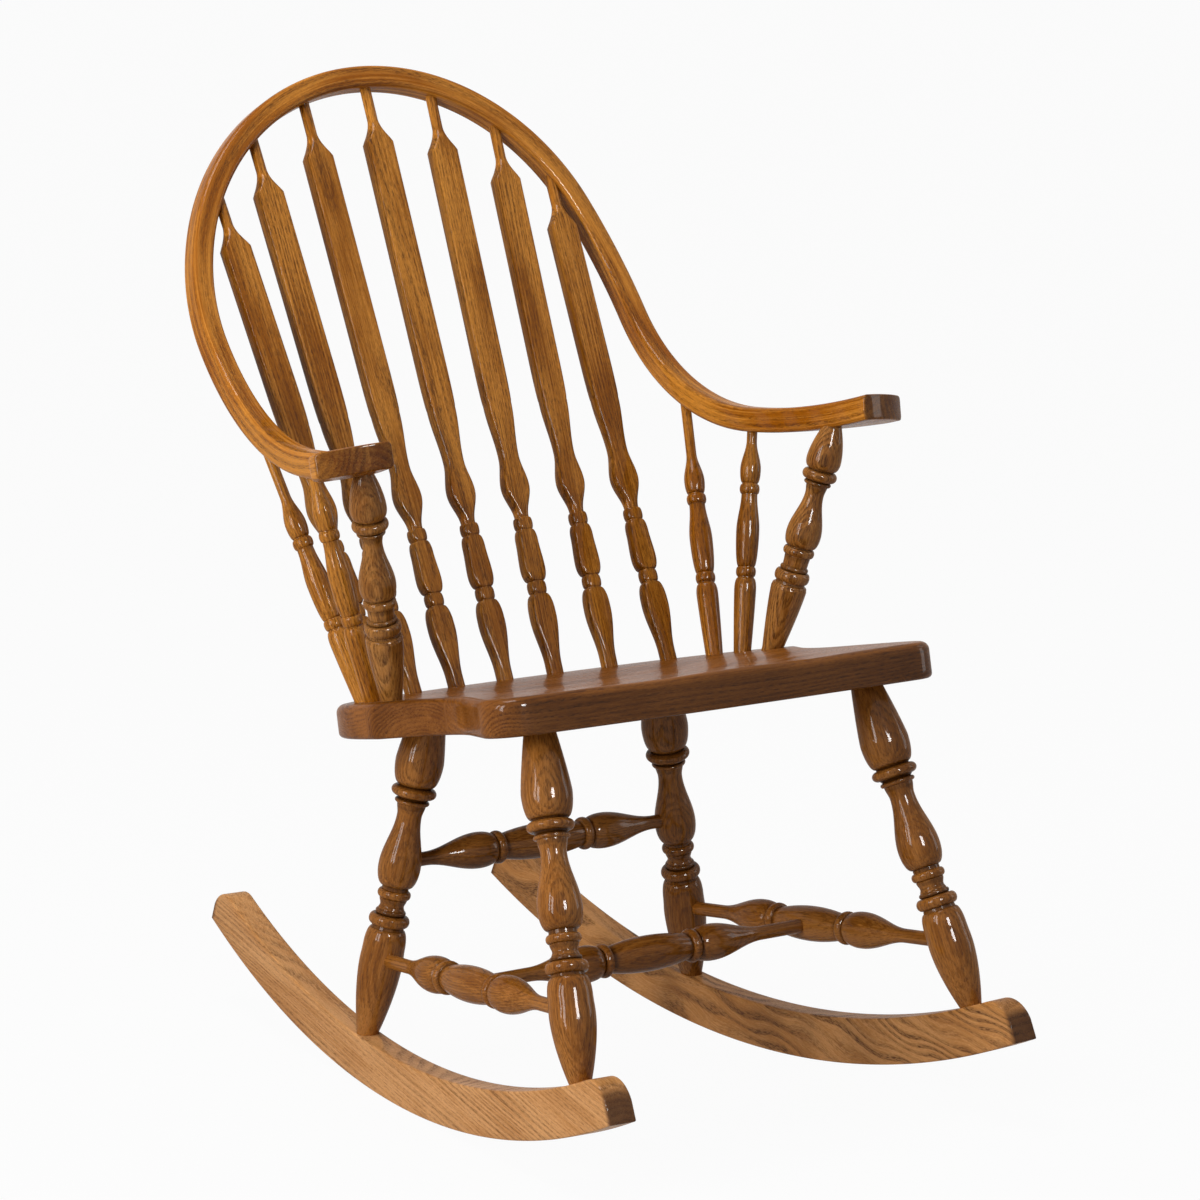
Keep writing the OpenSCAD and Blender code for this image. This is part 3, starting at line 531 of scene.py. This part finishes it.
def bead(r, z, height, base, count=14):
    """Half-round bead of the given height, standing on a base radius."""
    a = np.linspace(0, np.pi, count + 1)
    return np.c_[base + (r - base) * np.sin(a), z - height / 2 * np.cos(a)]


def baluster(z, r, last=taper):
    """Turning shared by legs and arm posts, from its heights and radii, which are those of
    the foot swell, neck, large ring, small bead, cove, collar, groove, vase, neck, the double
    collar's two beads, groove, upper vase and top."""
    shoulder = r[0] * 0.97
    knee = z[0] + (z[1] - z[0]) * 0.5
    return np.concatenate([
        run(r[0], z[0], shoulder, knee, ease), run(shoulder, knee, r[1], z[1], fall),
        bead(r[2], z[2], 12, r[1] - 0.5), bead(r[3], z[3], 5, r[3] - 2, 8),
        run(r[3] - 2, z[3] + 2.5, r[4], z[4], ease, 8),
        run(r[4], z[4], r[5] - 3, z[5] - 5, ease, 8), bead(r[5], z[5], 9, r[6], 12),
        [[r[6], z[6]]], run(r[6], z[6], r[7], z[7], swell), run(r[7], z[7], r[8], z[8], ease, 26),
        run(r[8], z[8], r[9] - 3, z[9] - 3, ease, 8), bead(r[9], z[9] - 1, 5, r[9] - 3, 8),
        bead(r[10], z[10], 11, r[9] - 1), [[r[11], z[11]]],
        run(r[11], z[11], r[12], z[12], swell), run(r[12], z[12], r[13], z[13], last, 24)])


def frame_along(p, q, way):
    """Axes of a stick: Z from p to q, Y as near as can be to the way given."""
    z = unit(q - p)
    x = unit(np.cross(way, z))
    return np.array([x, np.cross(z, x), z])


def grooves(radius, along):
    """How far each point of a turned outline lies below the line of its neighbours within
    6 mm, from 0 to 1: there the stain gathers."""
    near = np.abs(along[:, None] - along[None, :]) < 6
    around = np.where(near, radius[None, :], -1).max(1)
    return np.clip((around - radius - 1.2) / 5, 0, 1)


def turn(name, outline, p, q, node, material, seed, flats=None, way=(0, 1, 0), around=64,
         mirror=False, facing=None, stained=1e9, overall_darkening=0.0):
    """A turned stick: the outline (radius, height) spun about the line from p to q. Flats is
    half the thickness left where it is planed in front and behind: there the depth of each
    point is cut off softly at that value. Stain gathers in the grooves below stained, and a
    given share of darkening is laid over the whole piece, which on the rear right leg and the
    rear stretcher is painted shade. The mirrored stick is the right-hand one."""
    keep = np.r_[True, np.abs(np.diff(outline, axis=0)).max(1) > 1e-4]
    radius, along = np.asarray(outline)[keep].T
    if flats is None:
        a = np.broadcast_to(np.linspace(0, 2 * np.pi, around, endpoint=False),
                            (len(radius), around))
    else:
        edge_angle = np.arcsin(np.minimum(flats / radius, 0.985))[:, None]
        s = np.linspace(0, 1, 9)
        quarter = np.concatenate([edge_angle * (1 - (1 - s) ** 2),
                                  edge_angle + (np.pi / 2 - edge_angle) * s[1:] ** 2], 1)
        a = np.concatenate([quarter, (np.pi - quarter)[:, -2::-1], (np.pi + quarter)[:, 1:],
                            (2 * np.pi - quarter)[:, -2:0:-1]], 1)
    x, y = radius[:, None] * np.cos(a), radius[:, None] * np.sin(a)
    if flats is not None:
        soft = 0.9           # mm over which the edges beside the flats are eased
        cut = -soft * np.logaddexp(-np.abs(y) / soft, -flats / soft)
        y = np.sign(y) * np.maximum(cut, 0)
    local = np.stack([x, y, np.broadcast_to(along[:, None], x.shape)], -1)
    ends = local[[0, -1]] * [0, 0, 1]
    local = np.concatenate([ends[:1], local, ends[1:]])
    hollow = np.r_[0, grooves(radius, along), 0]
    hollow = (hollow * (local[:, 0, 2] < stained))[:, None]
    if flats is not None:
        # The turned sides hold more stain than the planed faces
        beside = (np.clip((flats - np.abs(y)) / 1.5, 0, 1)
                  * np.clip((radius[:, None] - flats) / 2, 0, 1))
        hollow = np.maximum(hollow, np.pad(0.6 * beside, ((1, 1), (0, 0))))
    # A share of darkening over the whole piece: painted shade on the rear right leg and the rear
    # stretcher
    hollow = np.maximum(hollow, overall_darkening)
    board = timber(local, seed, facing=facing)
    placed = p + local @ frame_along(p, q, way)
    if mirror:
        placed = placed * [-1, 1, 1]
    return shell(name, placed, board, node, material, hollow)


def leg_foot(i):
    """Where the axis of a left leg meets the top of its rocker."""
    return on_rocker(FOOT[i] + SEAT_Y)


def leg_head(i):
    """Where the axis of a left leg meets the underside of the seat."""
    return on_seat(*SOCKET[i], underside(SOCKET[i][1]))


def on_leg(i, height):
    """Point on the axis of a left leg, at a height above its large ring."""
    return leg_foot(i) + unit(leg_head(i) - leg_foot(i)) * (SHIN[i] + height)


turned_oak = lacquered_oak("turned_oak", (0.034, 0.009, 0.002), (0.205, 0.066, 0.007),
                           (0.37, 0.143, 0.028), ring=2.4, streak=0.34, pores=0.75,
                           sheen=0.22)
for i, end in enumerate(("front", "rear")):
    outline = np.concatenate([
        [[LEG_TOE, -SHIN[i] - SUNK], [LEG_TOE, -SHIN[i]]],
        run(LEG_TOE, -SHIN[i], LEG_RADII[0], LEG_MARKS[0], fill, 20),
        baluster(LEG_MARKS, LEG_RADII)])
    length = np.linalg.norm(leg_head(i) - leg_foot(i)) - SHIN[i] + LEG_TENON
    outline = outline[outline[:, 1] < length - 1]
    outline = np.r_[outline, [[np.interp(length, outline[:, 1], outline[:, 0]), length]]]
    base = on_leg(i, 0)
    for side, mirror in (("left", False), ("right", True)):
        # Painted shade: the rear right leg is darkened all over for the seat's shadow it stands
        # in
        leg = turn(f"turned_{end}_leg_{side}", outline, base, leg_head(i),
                   f"{end}_leg_{side}", turned_oak, 41 + 2 * i + mirror, mirror=mirror,
                   facing=5.2 if mirror else 4.2, overall_darkening=0.3 * (i and mirror))

# ---------------------------------------------------------------------------
# Stretchers. Turned in oak like the legs: a plain barrel between two rings and a
# long vase towards each end, running down to the tenons. The cross stretcher
# joins the side stretchers at their middles, the rear one sits higher up.
SIDE_DROP = 42.5
REAR_RISE = 61
# Distances from the middle, and radii, of the barrel, neck, ring, neck, vase and tenon
RAIL_MARKS = (0, 48.5, 54, 59.5, 78, 142)
RAIL_RADII = (18.4, 13.2, 17.4, 13.2, 19, 7.25)


def barrel(t):
    """Square of the share, so that it starts along the axis."""
    return t ** 2, t


def rail_outline(reach):
    """Half of the stretcher's outline from its middle to its end, and its mirror image."""
    z, r = RAIL_MARKS, RAIL_RADII
    half = np.concatenate([
        [[r[0], z[0]]], run(r[0], z[0], r[1], z[1], barrel, 16), bead(r[2], z[2], 10, r[1]),
        run(r[3], z[3], r[4], z[4], swell), run(r[4], z[4], r[5], z[5], ease, 26),
        [[r[5], reach]]])
    return np.concatenate([half[:0:-1] * [1, -1], half])


flip = np.array([-1, 1, 1])
side_front, side_rear = on_leg(0, -SIDE_DROP), on_leg(1, -SIDE_DROP)
side_middle = (side_front + side_rear) / 2
rear_left = on_leg(1, REAR_RISE)
# Painted shade: the rear stretcher is darkened all over for the seat's shadow it lies in
for label, p, q, seed, mirror, way, overall_darkening in (
        ("side_stretcher_left", side_rear, side_front, 51, False, (0, 0, 1), 0),
        ("side_stretcher_right", side_rear, side_front, 52, True, (0, 0, 1), 0),
        ("cross_stretcher", side_middle, side_middle * flip, 53, False, (0, 1, 0), 0),
        ("rear_stretcher", rear_left, rear_left * flip, 54, False, (0, 1, 0), 0.3)):
    reach = np.linalg.norm(q - p) / 2 - 2
    rail = turn("turned_" + label, rail_outline(reach), (p + q) / 2, q, label, turned_oak, seed,
                mirror=mirror, way=way, overall_darkening=overall_darkening)

# ---------------------------------------------------------------------------
# Bow. A single bent piece of oak: the hoop of the back leans back, turns
# forwards at each side and rises again as an arm. The grain follows the bend,
# and the corners of the section are rounded all the way.
HOOP_R = 254
HOOP_SWEEP = 68
HOOP_LEAN = math.radians(23.5)
BOW_W, BOW_D, BOW_ROUND = 12, 13, 5      # half width and half depth, corner radius
HOOP_TOP = np.array([0, 433.7 + SEAT_Y, 1003.2])
BOW_MARKS = np.array([[-261.4, 300.4 + SEAT_Y, 744.6], [-272, 89.5 + SEAT_Y, 652.6],
                      [-295.8, -87 + SEAT_Y, 685.1]])
PAD_W = 50
PAD_FLARE = 120
HAND_R, HAND_BACK = 116, 16.5
PAD_REACH = PAD_FLARE + HAND_BACK
HAND_LEAN = math.radians(8)
HAND_SHARE = 0.2             # last part of the arm's bend, shaped by on_arm()
ARM_ROLL = math.radians(8.5)
GLUE_EDGE, GLUE_AHEAD, GLUE_FADE = 0.35, 14, 24
HAND_FADE = 60
END_EASE, END_STAIN = 1.8, 0.7


def spin(v, axis, angle):
    """Vector v turned about an axis by each angle given, in radians."""
    angle = np.asarray(angle)[..., None]
    return (v * np.cos(angle) + np.cross(axis, v) * np.sin(angle)
            + axis * np.dot(axis, v) * (1 - np.cos(angle)))


def bend_to(p, t, w, q, shares):
    """Circular bend from p, heading t, to q: positions, headings and width directions at the
    given shares of its angle."""
    chord = q - p
    axis = unit(np.cross(t, chord))
    inward = np.cross(axis, t)
    radius = chord @ chord / (2 * (chord @ inward))
    angle = 2 * math.atan2(chord @ inward, chord @ t) * np.asarray(shares)
    centre = p + inward * radius
    return (centre + spin(-inward * radius, axis, angle), spin(t, axis, angle),
            spin(w, axis, angle))


HOOP_UP = np.array([0, math.sin(HOOP_LEAN), math.cos(HOOP_LEAN)])
HOOP_FACE = np.array([0, -math.cos(HOOP_LEAN), math.sin(HOOP_LEAN)])
HOOP_CENTRE = HOOP_TOP - HOOP_UP * HOOP_R
LEFTWARD = np.array([-1.0, 0, 0])


def on_hoop(degrees):
    """Point of the hoop, its angle counted from the top towards the left."""
    a = np.radians(degrees)[..., None]
    return HOOP_CENTRE + HOOP_R * (HOOP_UP * np.cos(a) + LEFTWARD * np.sin(a))


degrees = np.linspace(0, HOOP_SWEEP, 70)
angle = np.radians(degrees)[:, None]
path = [on_hoop(degrees)]
heading = [LEFTWARD * np.cos(angle) - HOOP_UP * np.sin(angle)]
outward = [HOOP_UP * np.cos(angle) + LEFTWARD * np.sin(angle)]
bends = []
for mark, count, last in zip(BOW_MARKS, (24, 40, 30), (1, 1, 1 - HAND_SHARE)):
    bends.append((path[-1][-1], heading[-1][-1], outward[-1][-1], mark))
    shares = np.linspace(0, last, count)[1:]
    for store, part in zip((path, heading, outward), bend_to(*bends[-1], shares)):
        store.append(part)
joints = np.cumsum([len(part) for part in path])
path, heading, outward = (np.concatenate(v) for v in (path, heading, outward))
# The outer side of the arm rolls down along the bend that dips
t = np.linspace(0, 1, joints[2] - joints[1] + 1)[1:]
rolled = np.zeros(len(path))
rolled[joints[1]:joints[2]] = ARM_ROLL * t * t * (3 - 2 * t)
rolled[joints[2]:] = ARM_ROLL


def roll_down(outward, heading, angle):
    """Width and depth directions of the section, turned about the heading by the angle."""
    up = np.cross(-heading, outward)
    c, s = np.cos(angle)[..., None], np.sin(angle)[..., None]
    return outward * c - up * s, up * c + outward * s


# The last bend is a little longer than its chord
ARM_SPAN = np.linalg.norm(bends[2][3] - bends[2][0]) * 1.03
arm_end = bends[2][3]
ahead = unit(bend_to(*bends[2], [1.0])[1][0] * [1, 1, 0])
HAND_AXES = np.array([[ahead[1], -ahead[0], 0],
                      ahead * math.cos(HAND_LEAN) + UP * math.sin(HAND_LEAN)])
# The hand's front is an arc from the arm's inner corner to the pad's outer one
chord = np.array([2 * BOW_W + PAD_W, -HAND_BACK])
hand_centre = (np.array([-BOW_W, 0]) + chord / 2 - unit([HAND_BACK, chord[0]])
               * math.sqrt(HAND_R ** 2 - chord @ chord / 4))


def on_arm(width, height, back):
    """Points of the last stretch of the left arm: across its section, above its middle and
    back from its curved front end. The end is a leaning cylinder, found by five steps of
    correction; its shape fades out over HAND_FADE behind it."""
    back = np.broadcast_to(np.asarray(back, float), width.shape)
    fade = 0.5 + 0.5 * np.cos(np.pi * np.clip(back / HAND_FADE, 0, 1))
    front = np.zeros(width.shape)
    for _ in range(5):
        p, t, w = bend_to(*bends[2], 1 - (back + front * fade) / ARM_SPAN)
        w, up = roll_down(w, t, np.full(width.shape, ARM_ROLL))
        place = p + width[..., None] * w + height[..., None] * up
        q, t, w = bend_to(*bends[2], 1 - front / ARM_SPAN)
        w, up = roll_down(w, t, np.full(width.shape, ARM_ROLL))
        x, y = np.moveaxis((q + width[..., None] * w + height[..., None] * up - arm_end)
                           @ HAND_AXES.T, -1, 0)
        front = front + y - hand_centre[1] - np.sqrt(HAND_R ** 2 - (x - hand_centre[0]) ** 2)
    return place


rows, grain = [], []
travelled = np.r_[0, np.cumsum(np.linalg.norm(np.diff(path, axis=0), axis=1))]
total = travelled[-1] + HAND_SHARE * ARM_SPAN
wide, deep = roll_down(outward, heading, rolled)
for k, so_far in enumerate(travelled):
    # The outer corners are left square where the pad is glued on
    glued = np.clip((PAD_REACH + GLUE_AHEAD - total + so_far) / GLUE_FADE, 0, 1)
    outer = BOW_ROUND * (1 - glued) + GLUE_EDGE * glued
    section = rounded_bar(BOW_W, BOW_D, (outer, BOW_ROUND, BOW_ROUND, outer), across=4)
    rows.append(path[k] + section[:, :1] * wide[k] + section[:, 1:] * deep[k])
    grain.append(np.c_[section, np.full(len(section), -so_far)])
stain = [0.0] * len(rows)
# Sections of the hand, as distance back from its end, inset and share of the full size; the
# end's edge is eased except along the glue line
HAND = [(back, 0.0, 1.0) for back in np.linspace(0.19 * ARM_SPAN, 4, 14)]
HAND_END = [(END_EASE * (1 - math.sin(a)), END_EASE * (1 - math.cos(a)), 1.0)
            for a in np.radians(np.linspace(0, 90, 6))]
HAND_END += [(0.0, END_EASE, share) for share in (0.8, 0.5, 0.2, 0.0)]
for back, inset, share in HAND + HAND_END:
    stain.append(END_STAIN * max(1 - back / END_EASE, 0))
    inner = BOW_ROUND - inset / 2
    section = rounded_bar(BOW_W - inset / 2, BOW_D - inset, (GLUE_EDGE, inner, inner, GLUE_EDGE),
                          across=4)
    section = section * share + [inset / 2, 0]
    rows.append(on_arm(section[:, 0], section[:, 1], back))
    grain.append(np.c_[section, np.full(len(section), back - total)])
half, grain, stain = np.array(rows), np.array(grain), np.array(stain)
other = half[:0:-1] * flip
other_grain = grain[:0:-1] * [1, 1, -1]
bow_oak = lacquered_oak("bow_oak", (0.060, 0.016, 0.002), (0.280, 0.080, 0.003),
                        (0.57, 0.225, 0.030), ring=6.5, streak=0.62, pores=0.7, sheen=0.2)
bow = shell("bent_bow", np.concatenate([other, half]),
            timber(np.concatenate([other_grain, grain]), 63, (70, 70), 0.25, 2.0), "bow",
            bow_oak, np.concatenate([stain[:0:-1], stain])[:, None], crease=34)

# ---------------------------------------------------------------------------
# Hand pads. A block of oak glued to the outside of each arm and sawn with it,
# so that the arm flares into a hand rest with a square front end.
rows, grain, stain = [], [], []
flared = PAD_REACH - (PAD_REACH - 24) * np.linspace(0, 1, 40)
for back, inset, share in ([(PAD_REACH, 0.0, 0.0)]
                           + [(back, 0.0, 1.0) for back in (*flared, *np.linspace(22, 4, 8))]
                           + HAND_END):
    stain.append(END_STAIN * max(1 - back / END_EASE, 0))
    flare = min(max(back - HAND_BACK, 0) / PAD_FLARE, 1)
    width = max(PAD_W * (1 + math.cos(math.pi * flare)) / 2, 0.4) - inset
    outer = min(BOW_ROUND - inset / 2, width / 2 - 0.05)
    glued = min(GLUE_EDGE, outer)
    section = rounded_bar(width / 2, BOW_D - inset, (outer, glued, glued, outer), across=8)
    section = section * share + [BOW_W + width / 2, 0]
    rows.append(on_arm(section[:, 0], section[:, 1], back))
    grain.append(np.c_[section, np.full(len(section), -back)])
rows, grain = np.array(rows), np.array(grain)
for side, mirror, seed in (("left", False, 71), ("right", True, 74)):
    pad = shell("hand_pad_" + side, rows * flip if mirror else rows,
                timber(grain, seed, (70, 90), 1.0), "arm_pad_" + side, bow_oak,
                np.array(stain)[:, None], crease=34)

# ---------------------------------------------------------------------------
# Arm posts. Turned in oak to the pattern of the legs, but shorter and slimmer,
# with their feet in the seat lobes and their tops in the arms behind the hands.
POST_MARKS = (-13.5, -8.5, 0, 8.6, 16, 27, 32.5, 46, 90, 103, 110.5, 117, 127, 168)
POST_RADII = (19, 15.8, 18.6, 15, 13.2, 16.6, 13.6, 18.6, 10, 14.4, 18.4, 13.6, 18.4, 7.8)
POST_RING = 80
POST_HEEL = 10.8
POST_HEAD = 0.71             # share of the arm's last bend at which the post meets it
HEAD_SHORT = 4               # how far the top of every stick stays below the bow's middle


def slim(t):
    """Power 1.7, so that it starts along the axis."""
    return t ** 1.7, t


post_oak = lacquered_oak("post_oak", (0.034, 0.010, 0.002), (0.225, 0.078, 0.012),
                         (0.42, 0.182, 0.042), ring=2.7, streak=0.68, pores=0.8, sheen=0.22)
post_foot = on_seat(-234, 0)
post_head = bend_to(*bends[2], [POST_HEAD])[0][0]
length = np.linalg.norm(post_head - post_foot)
outline = np.concatenate([
    [[POST_HEEL, -SUNK], [POST_HEEL, 0]],
    run(POST_HEEL, 0, POST_RADII[0], POST_RING + POST_MARKS[0], fill_short, 20),
    baluster(POST_MARKS, POST_RADII, slim) + [0, POST_RING],
    [[POST_RADII[-1], length - HEAD_SHORT]]])
for side, mirror, seed in (("left", False, 81), ("right", True, 83)):
    post = turn("turned_arm_post_" + side, outline, post_foot, post_head, "arm_post_" + side,
                post_oak, seed, mirror=mirror, facing=5.3 if mirror else 4.1)

# ---------------------------------------------------------------------------
# Arm spindles. Two slim turned oak sticks glued in under each arm: a long foot,
# a ring, a barrel, a second ring and a small vase with a drawn-out neck.
STICK_HEEL = 9.3
# Heights, and radii, of the foot, neck, ring, groove, barrel, neck, ring, groove, vase, neck
STICK_MARKS = (66, 78, 84.5, 90, 128, 166.8, 172.5, 179, 193, 224)
STICK_RADII = (11.7, 8.6, 10.6, 8.6, 12.3, 8.5, 10.6, 8.2, 11, 5.5)
spindle_oak = lacquered_oak("spindle_oak", (0.036, 0.010, 0.002), (0.250, 0.076, 0.003),
                            (0.54, 0.215, 0.030), ring=3.2, streak=0.42, pores=1.0, sheen=0.2)


def stick_outline(length):
    """Outline of an arm spindle; its neck takes up what is left of the length."""
    z, r = STICK_MARKS, STICK_RADII
    return np.concatenate([
        [[STICK_HEEL, -SUNK], [STICK_HEEL, 0]], run(STICK_HEEL, 0, r[0], z[0], fill_short, 16),
        run(r[0], z[0], r[1], z[1], fall, 8), bead(r[2], z[2], 10.5, r[1]), [[r[3], z[3]]],
        run(r[3], z[3], r[4], z[4], swell, 18), run(r[4], z[4], r[5], z[5], ease, 16),
        bead(r[6], z[6], 10.5, r[5]), [[r[7], z[7]]], run(r[7], z[7], r[8], z[8], swell, 10),
        run(r[8], z[8], r[9], z[9], ease, 16), [[r[9], length - HEAD_SHORT]]])


rear_head = bend_to(*bends[1], [0.5])[0][0]
# The front right spindle is made darker all over than the others
for label, foot, head, seed, overall_darkening in (
        ("front_arm_spindle_", on_seat(-227.9, 46), BOW_MARKS[1], 91, 0.35),
        ("rear_arm_spindle_", on_seat(-217.2, 83), rear_head, 95, 0)):
    outline = stick_outline(np.linalg.norm(head - foot))
    for side, mirror in (("left", False), ("right", True)):
        stick = turn("turned_" + label + side, outline, foot, head, label + side, spindle_oak,
                     seed + mirror, around=48, mirror=mirror, overall_darkening=overall_darkening * mirror)

# ---------------------------------------------------------------------------
# Arrow spindles. Turned oak sticks planed flat in front and behind: a vase, two
# beads with a barrel between them, a long vase that widens into the blade, and
# a shoulder that steps in to the thin round neck under the hoop.
ARROW_FEET = ((0, 158.7), (61.7, 156.4), (122.6, 143.4), (177.4, 111.7))
ARROW_STEP = 18.4            # degrees between two necks on the hoop
ARROW_HALF = 8
ARROW_HEEL, ARROW_HEEL_TOP = 9.1, 10
# Heights, and radii, of the vase, its rim, neck, bead, groove, barrel, its upper part, neck,
# bead, groove, long vase, waist, the blade's foot and the blade
ARROW_MARKS = (63, 67, 87, 94.4, 101.6, 116, 146, 158.2, 165.3, 172, 207, 240, 300, 345)
ARROW_RADII = (14.7, 14.6, 8.9, 10.4, 8.8, 13.7, 12.3, 8.8, 10.4, 7.8, 15.7, 11.2, 15.6, 16.9)
ARROW_NECK = 62
ARROW_TIP = 5.8
SHOULDER_STEP, SHOULDER_DROP, SHOULDER_LENGTH = 2.7, 5, 27


def arrow_outline(length):
    """Outline of an arrow spindle; its shoulder lies a neck's length below the hoop."""
    z, r = ARROW_MARKS, ARROW_RADII
    shoulder = length - BOW_W - ARROW_NECK
    chin = r[13] - SHOULDER_STEP, shoulder + SHOULDER_DROP
    return np.concatenate([
        [[ARROW_HEEL, -SUNK], [ARROW_HEEL, ARROW_HEEL_TOP]],
        run(ARROW_HEEL, ARROW_HEEL_TOP, r[0], z[0], ease, 24),
        [[r[1], z[1]]], run(r[1], z[1], r[2], z[2], fall, 16), bead(r[3], z[3], 12.5, r[2], 16),
        [[r[4], z[4]]], run(r[4], z[4], r[5], z[5], swell, 12),
        run(r[5], z[5], r[6], z[6], ease, 12), run(r[6], z[6], r[7], z[7], fall, 12),
        bead(r[8], z[8], 12.5, r[7], 16), [[r[9], z[9]]], run(r[9], z[9], r[10], z[10], ease, 20),
        run(r[10], z[10], r[11], z[11], ease, 16), run(r[11], z[11], r[12], z[12], ease, 20),
        run(r[12], z[12], r[13], z[13], swell, 8),
        np.c_[np.full(12, r[13]), np.linspace(z[13] + 5, shoulder, 12)],
        [chin], run(*chin, ARROW_TIP, shoulder + SHOULDER_LENGTH, fill, 16),
        [[ARROW_TIP, length - HEAD_SHORT]]])


for number in range(1, 8):
    k = abs(4 - number)
    mirror = number > 4
    foot = on_seat(-ARROW_FEET[k][0], ARROW_FEET[k][1])
    head = on_hoop(ARROW_STEP * k)
    outline = arrow_outline(np.linalg.norm(head - foot))
    arrow = turn(f"arrow_stick_{number}", outline, foot, head, f"arrow_spindle_{number}",
                 spindle_oak, 100 + number, flats=ARROW_HALF, way=HOOP_FACE, mirror=mirror,
                 stained=200)

# ---------------------------------------------------------------------------
# Studio. A pale floor that still takes the chair's shadow, a white background,
# a large soft light and a strip from the left, weaker ones from the right, one
# from above and a reflector that only shows in the lacquer.
FLOOR_HALF = 60              # m
floor_mesh = bpy.data.meshes.new("studio_floor")
floor_mesh.from_pydata([(x * FLOOR_HALF, y * FLOOR_HALF, 0)
                        for x, y in ((-1, -1), (1, -1), (1, 1), (-1, 1))], [], [(0, 1, 2, 3)])
floor = bpy.data.objects.new("studio_floor", floor_mesh)
scene.collection.objects.link(floor)


def seen_rays(nodes, links, share):
    """The share given for camera, glossy and transmission rays, and 0 for all others."""
    rays = nodes.new("ShaderNodeLightPath")
    seen = rays.outputs["Is Camera Ray"]
    for label in ("Is Glossy Ray", "Is Transmission Ray"):
        either = nodes.new("ShaderNodeMath")
        either.operation = "MAXIMUM"
        links.new(seen, either.inputs[0])
        links.new(rays.outputs[label], either.inputs[1])
        seen = either.outputs[0]
    scaled = nodes.new("ShaderNodeMath")
    scaled.operation = "MULTIPLY"
    scaled.inputs[1].default_value = share
    links.new(seen, scaled.inputs[0])
    return scaled.outputs[0]


paper = bpy.data.materials.new("studio_paper")
paper.use_nodes = True
nodes, links = paper.node_tree.nodes, paper.node_tree.links
shader = nodes["Principled BSDF"]
shader.inputs["Base Color"].default_value = (0.4, 0.4, 0.4, 1)
shader.inputs["Roughness"].default_value = 0.9
glow = nodes.new("ShaderNodeEmission")
blend = nodes.new("ShaderNodeMixShader")
links.new(seen_rays(nodes, links, 0.955), blend.inputs[0])
links.new(shader.outputs[0], blend.inputs[1])
links.new(glow.outputs[0], blend.inputs[2])
links.new(blend.outputs[0], nodes["Material Output"].inputs["Surface"])
floor_mesh.materials.append(paper)

world = bpy.data.worlds.new("studio_air")
world.use_nodes = True
nodes, links = world.node_tree.nodes, world.node_tree.links
air = nodes["Background"]
seen = nodes.new("ShaderNodeBackground")
seen.inputs["Color"].default_value = (1, 1, 1, 1)
air.inputs["Color"].default_value = (1, 1, 1, 1)
air.inputs["Strength"].default_value = 0.17
blend = nodes.new("ShaderNodeMixShader")
links.new(seen_rays(nodes, links, 1), blend.inputs[0])
links.new(air.outputs[0], blend.inputs[1])
links.new(seen.outputs[0], blend.inputs[2])
links.new(blend.outputs[0], nodes["World Output"].inputs["Surface"])
scene.world = world


def soft_light(name, place, aim, width, height, power):
    """A rectangular area light at a place, turned to face the aim; returns its object."""
    lamp = bpy.data.lights.new(name, "AREA")
    lamp.shape = "RECTANGLE"
    lamp.size, lamp.size_y, lamp.energy = width, height, power
    holder = bpy.data.objects.new(name, lamp)
    z = unit(np.subtract(place, aim))
    x = unit(np.cross(UP, z)) if abs(z[2]) < 0.99 else np.array([1.0, 0, 0])
    y = np.cross(z, x)
    turned = np.c_[x, y, z, place]
    holder.matrix_world = Matrix(turned.tolist() + [[0, 0, 0, 1]])
    scene.collection.objects.link(holder)
    return holder


# Place and aim in metres, width, height and watts
soft_light("left_softbox", (-3.1, -1.0, 1.45), (0, 0, 0.5), 0.55, 1.7, 58)
soft_light("left_strip", (-3.0, -0.2, 1.4), (0, 0, 0.6), 0.3, 1.5, 30)
soft_light("right_softbox", (2.9, -0.2, 2.2), (0, 0, 0.8), 0.9, 1.1, 8)
soft_light("right_strip", (3.0, -1.4, 1.2), (0, 0, 0.6), 0.8, 1.4, 18)
soft_light("top_softbox", (-0.7, 0.1, 3.0), (0, 0, 0.5), 1.0, 1.0, 40)
gleam = soft_light("front_gleam", (-0.45, -3.35, 2.0), (0, 0, 0.5), 0.8, 1.0, 190)
gleam.visible_diffuse = False

# Camera: found by fitting the repeated turnings of the photographed chair
camera = bpy.data.cameras.new("studio_camera")
camera.lens = 132
camera.sensor_width = 36
eye = bpy.data.objects.new("studio_camera", camera)
eye.location = (-2.4553, -3.6563 + SEAT_Y / 1000, 1.3288)
eye.rotation_euler = (math.radians(90 - 10.66), 0, math.radians(-34.05))
scene.collection.objects.link(eye)
scene.camera = eye
scene.view_settings.view_transform = "Standard"
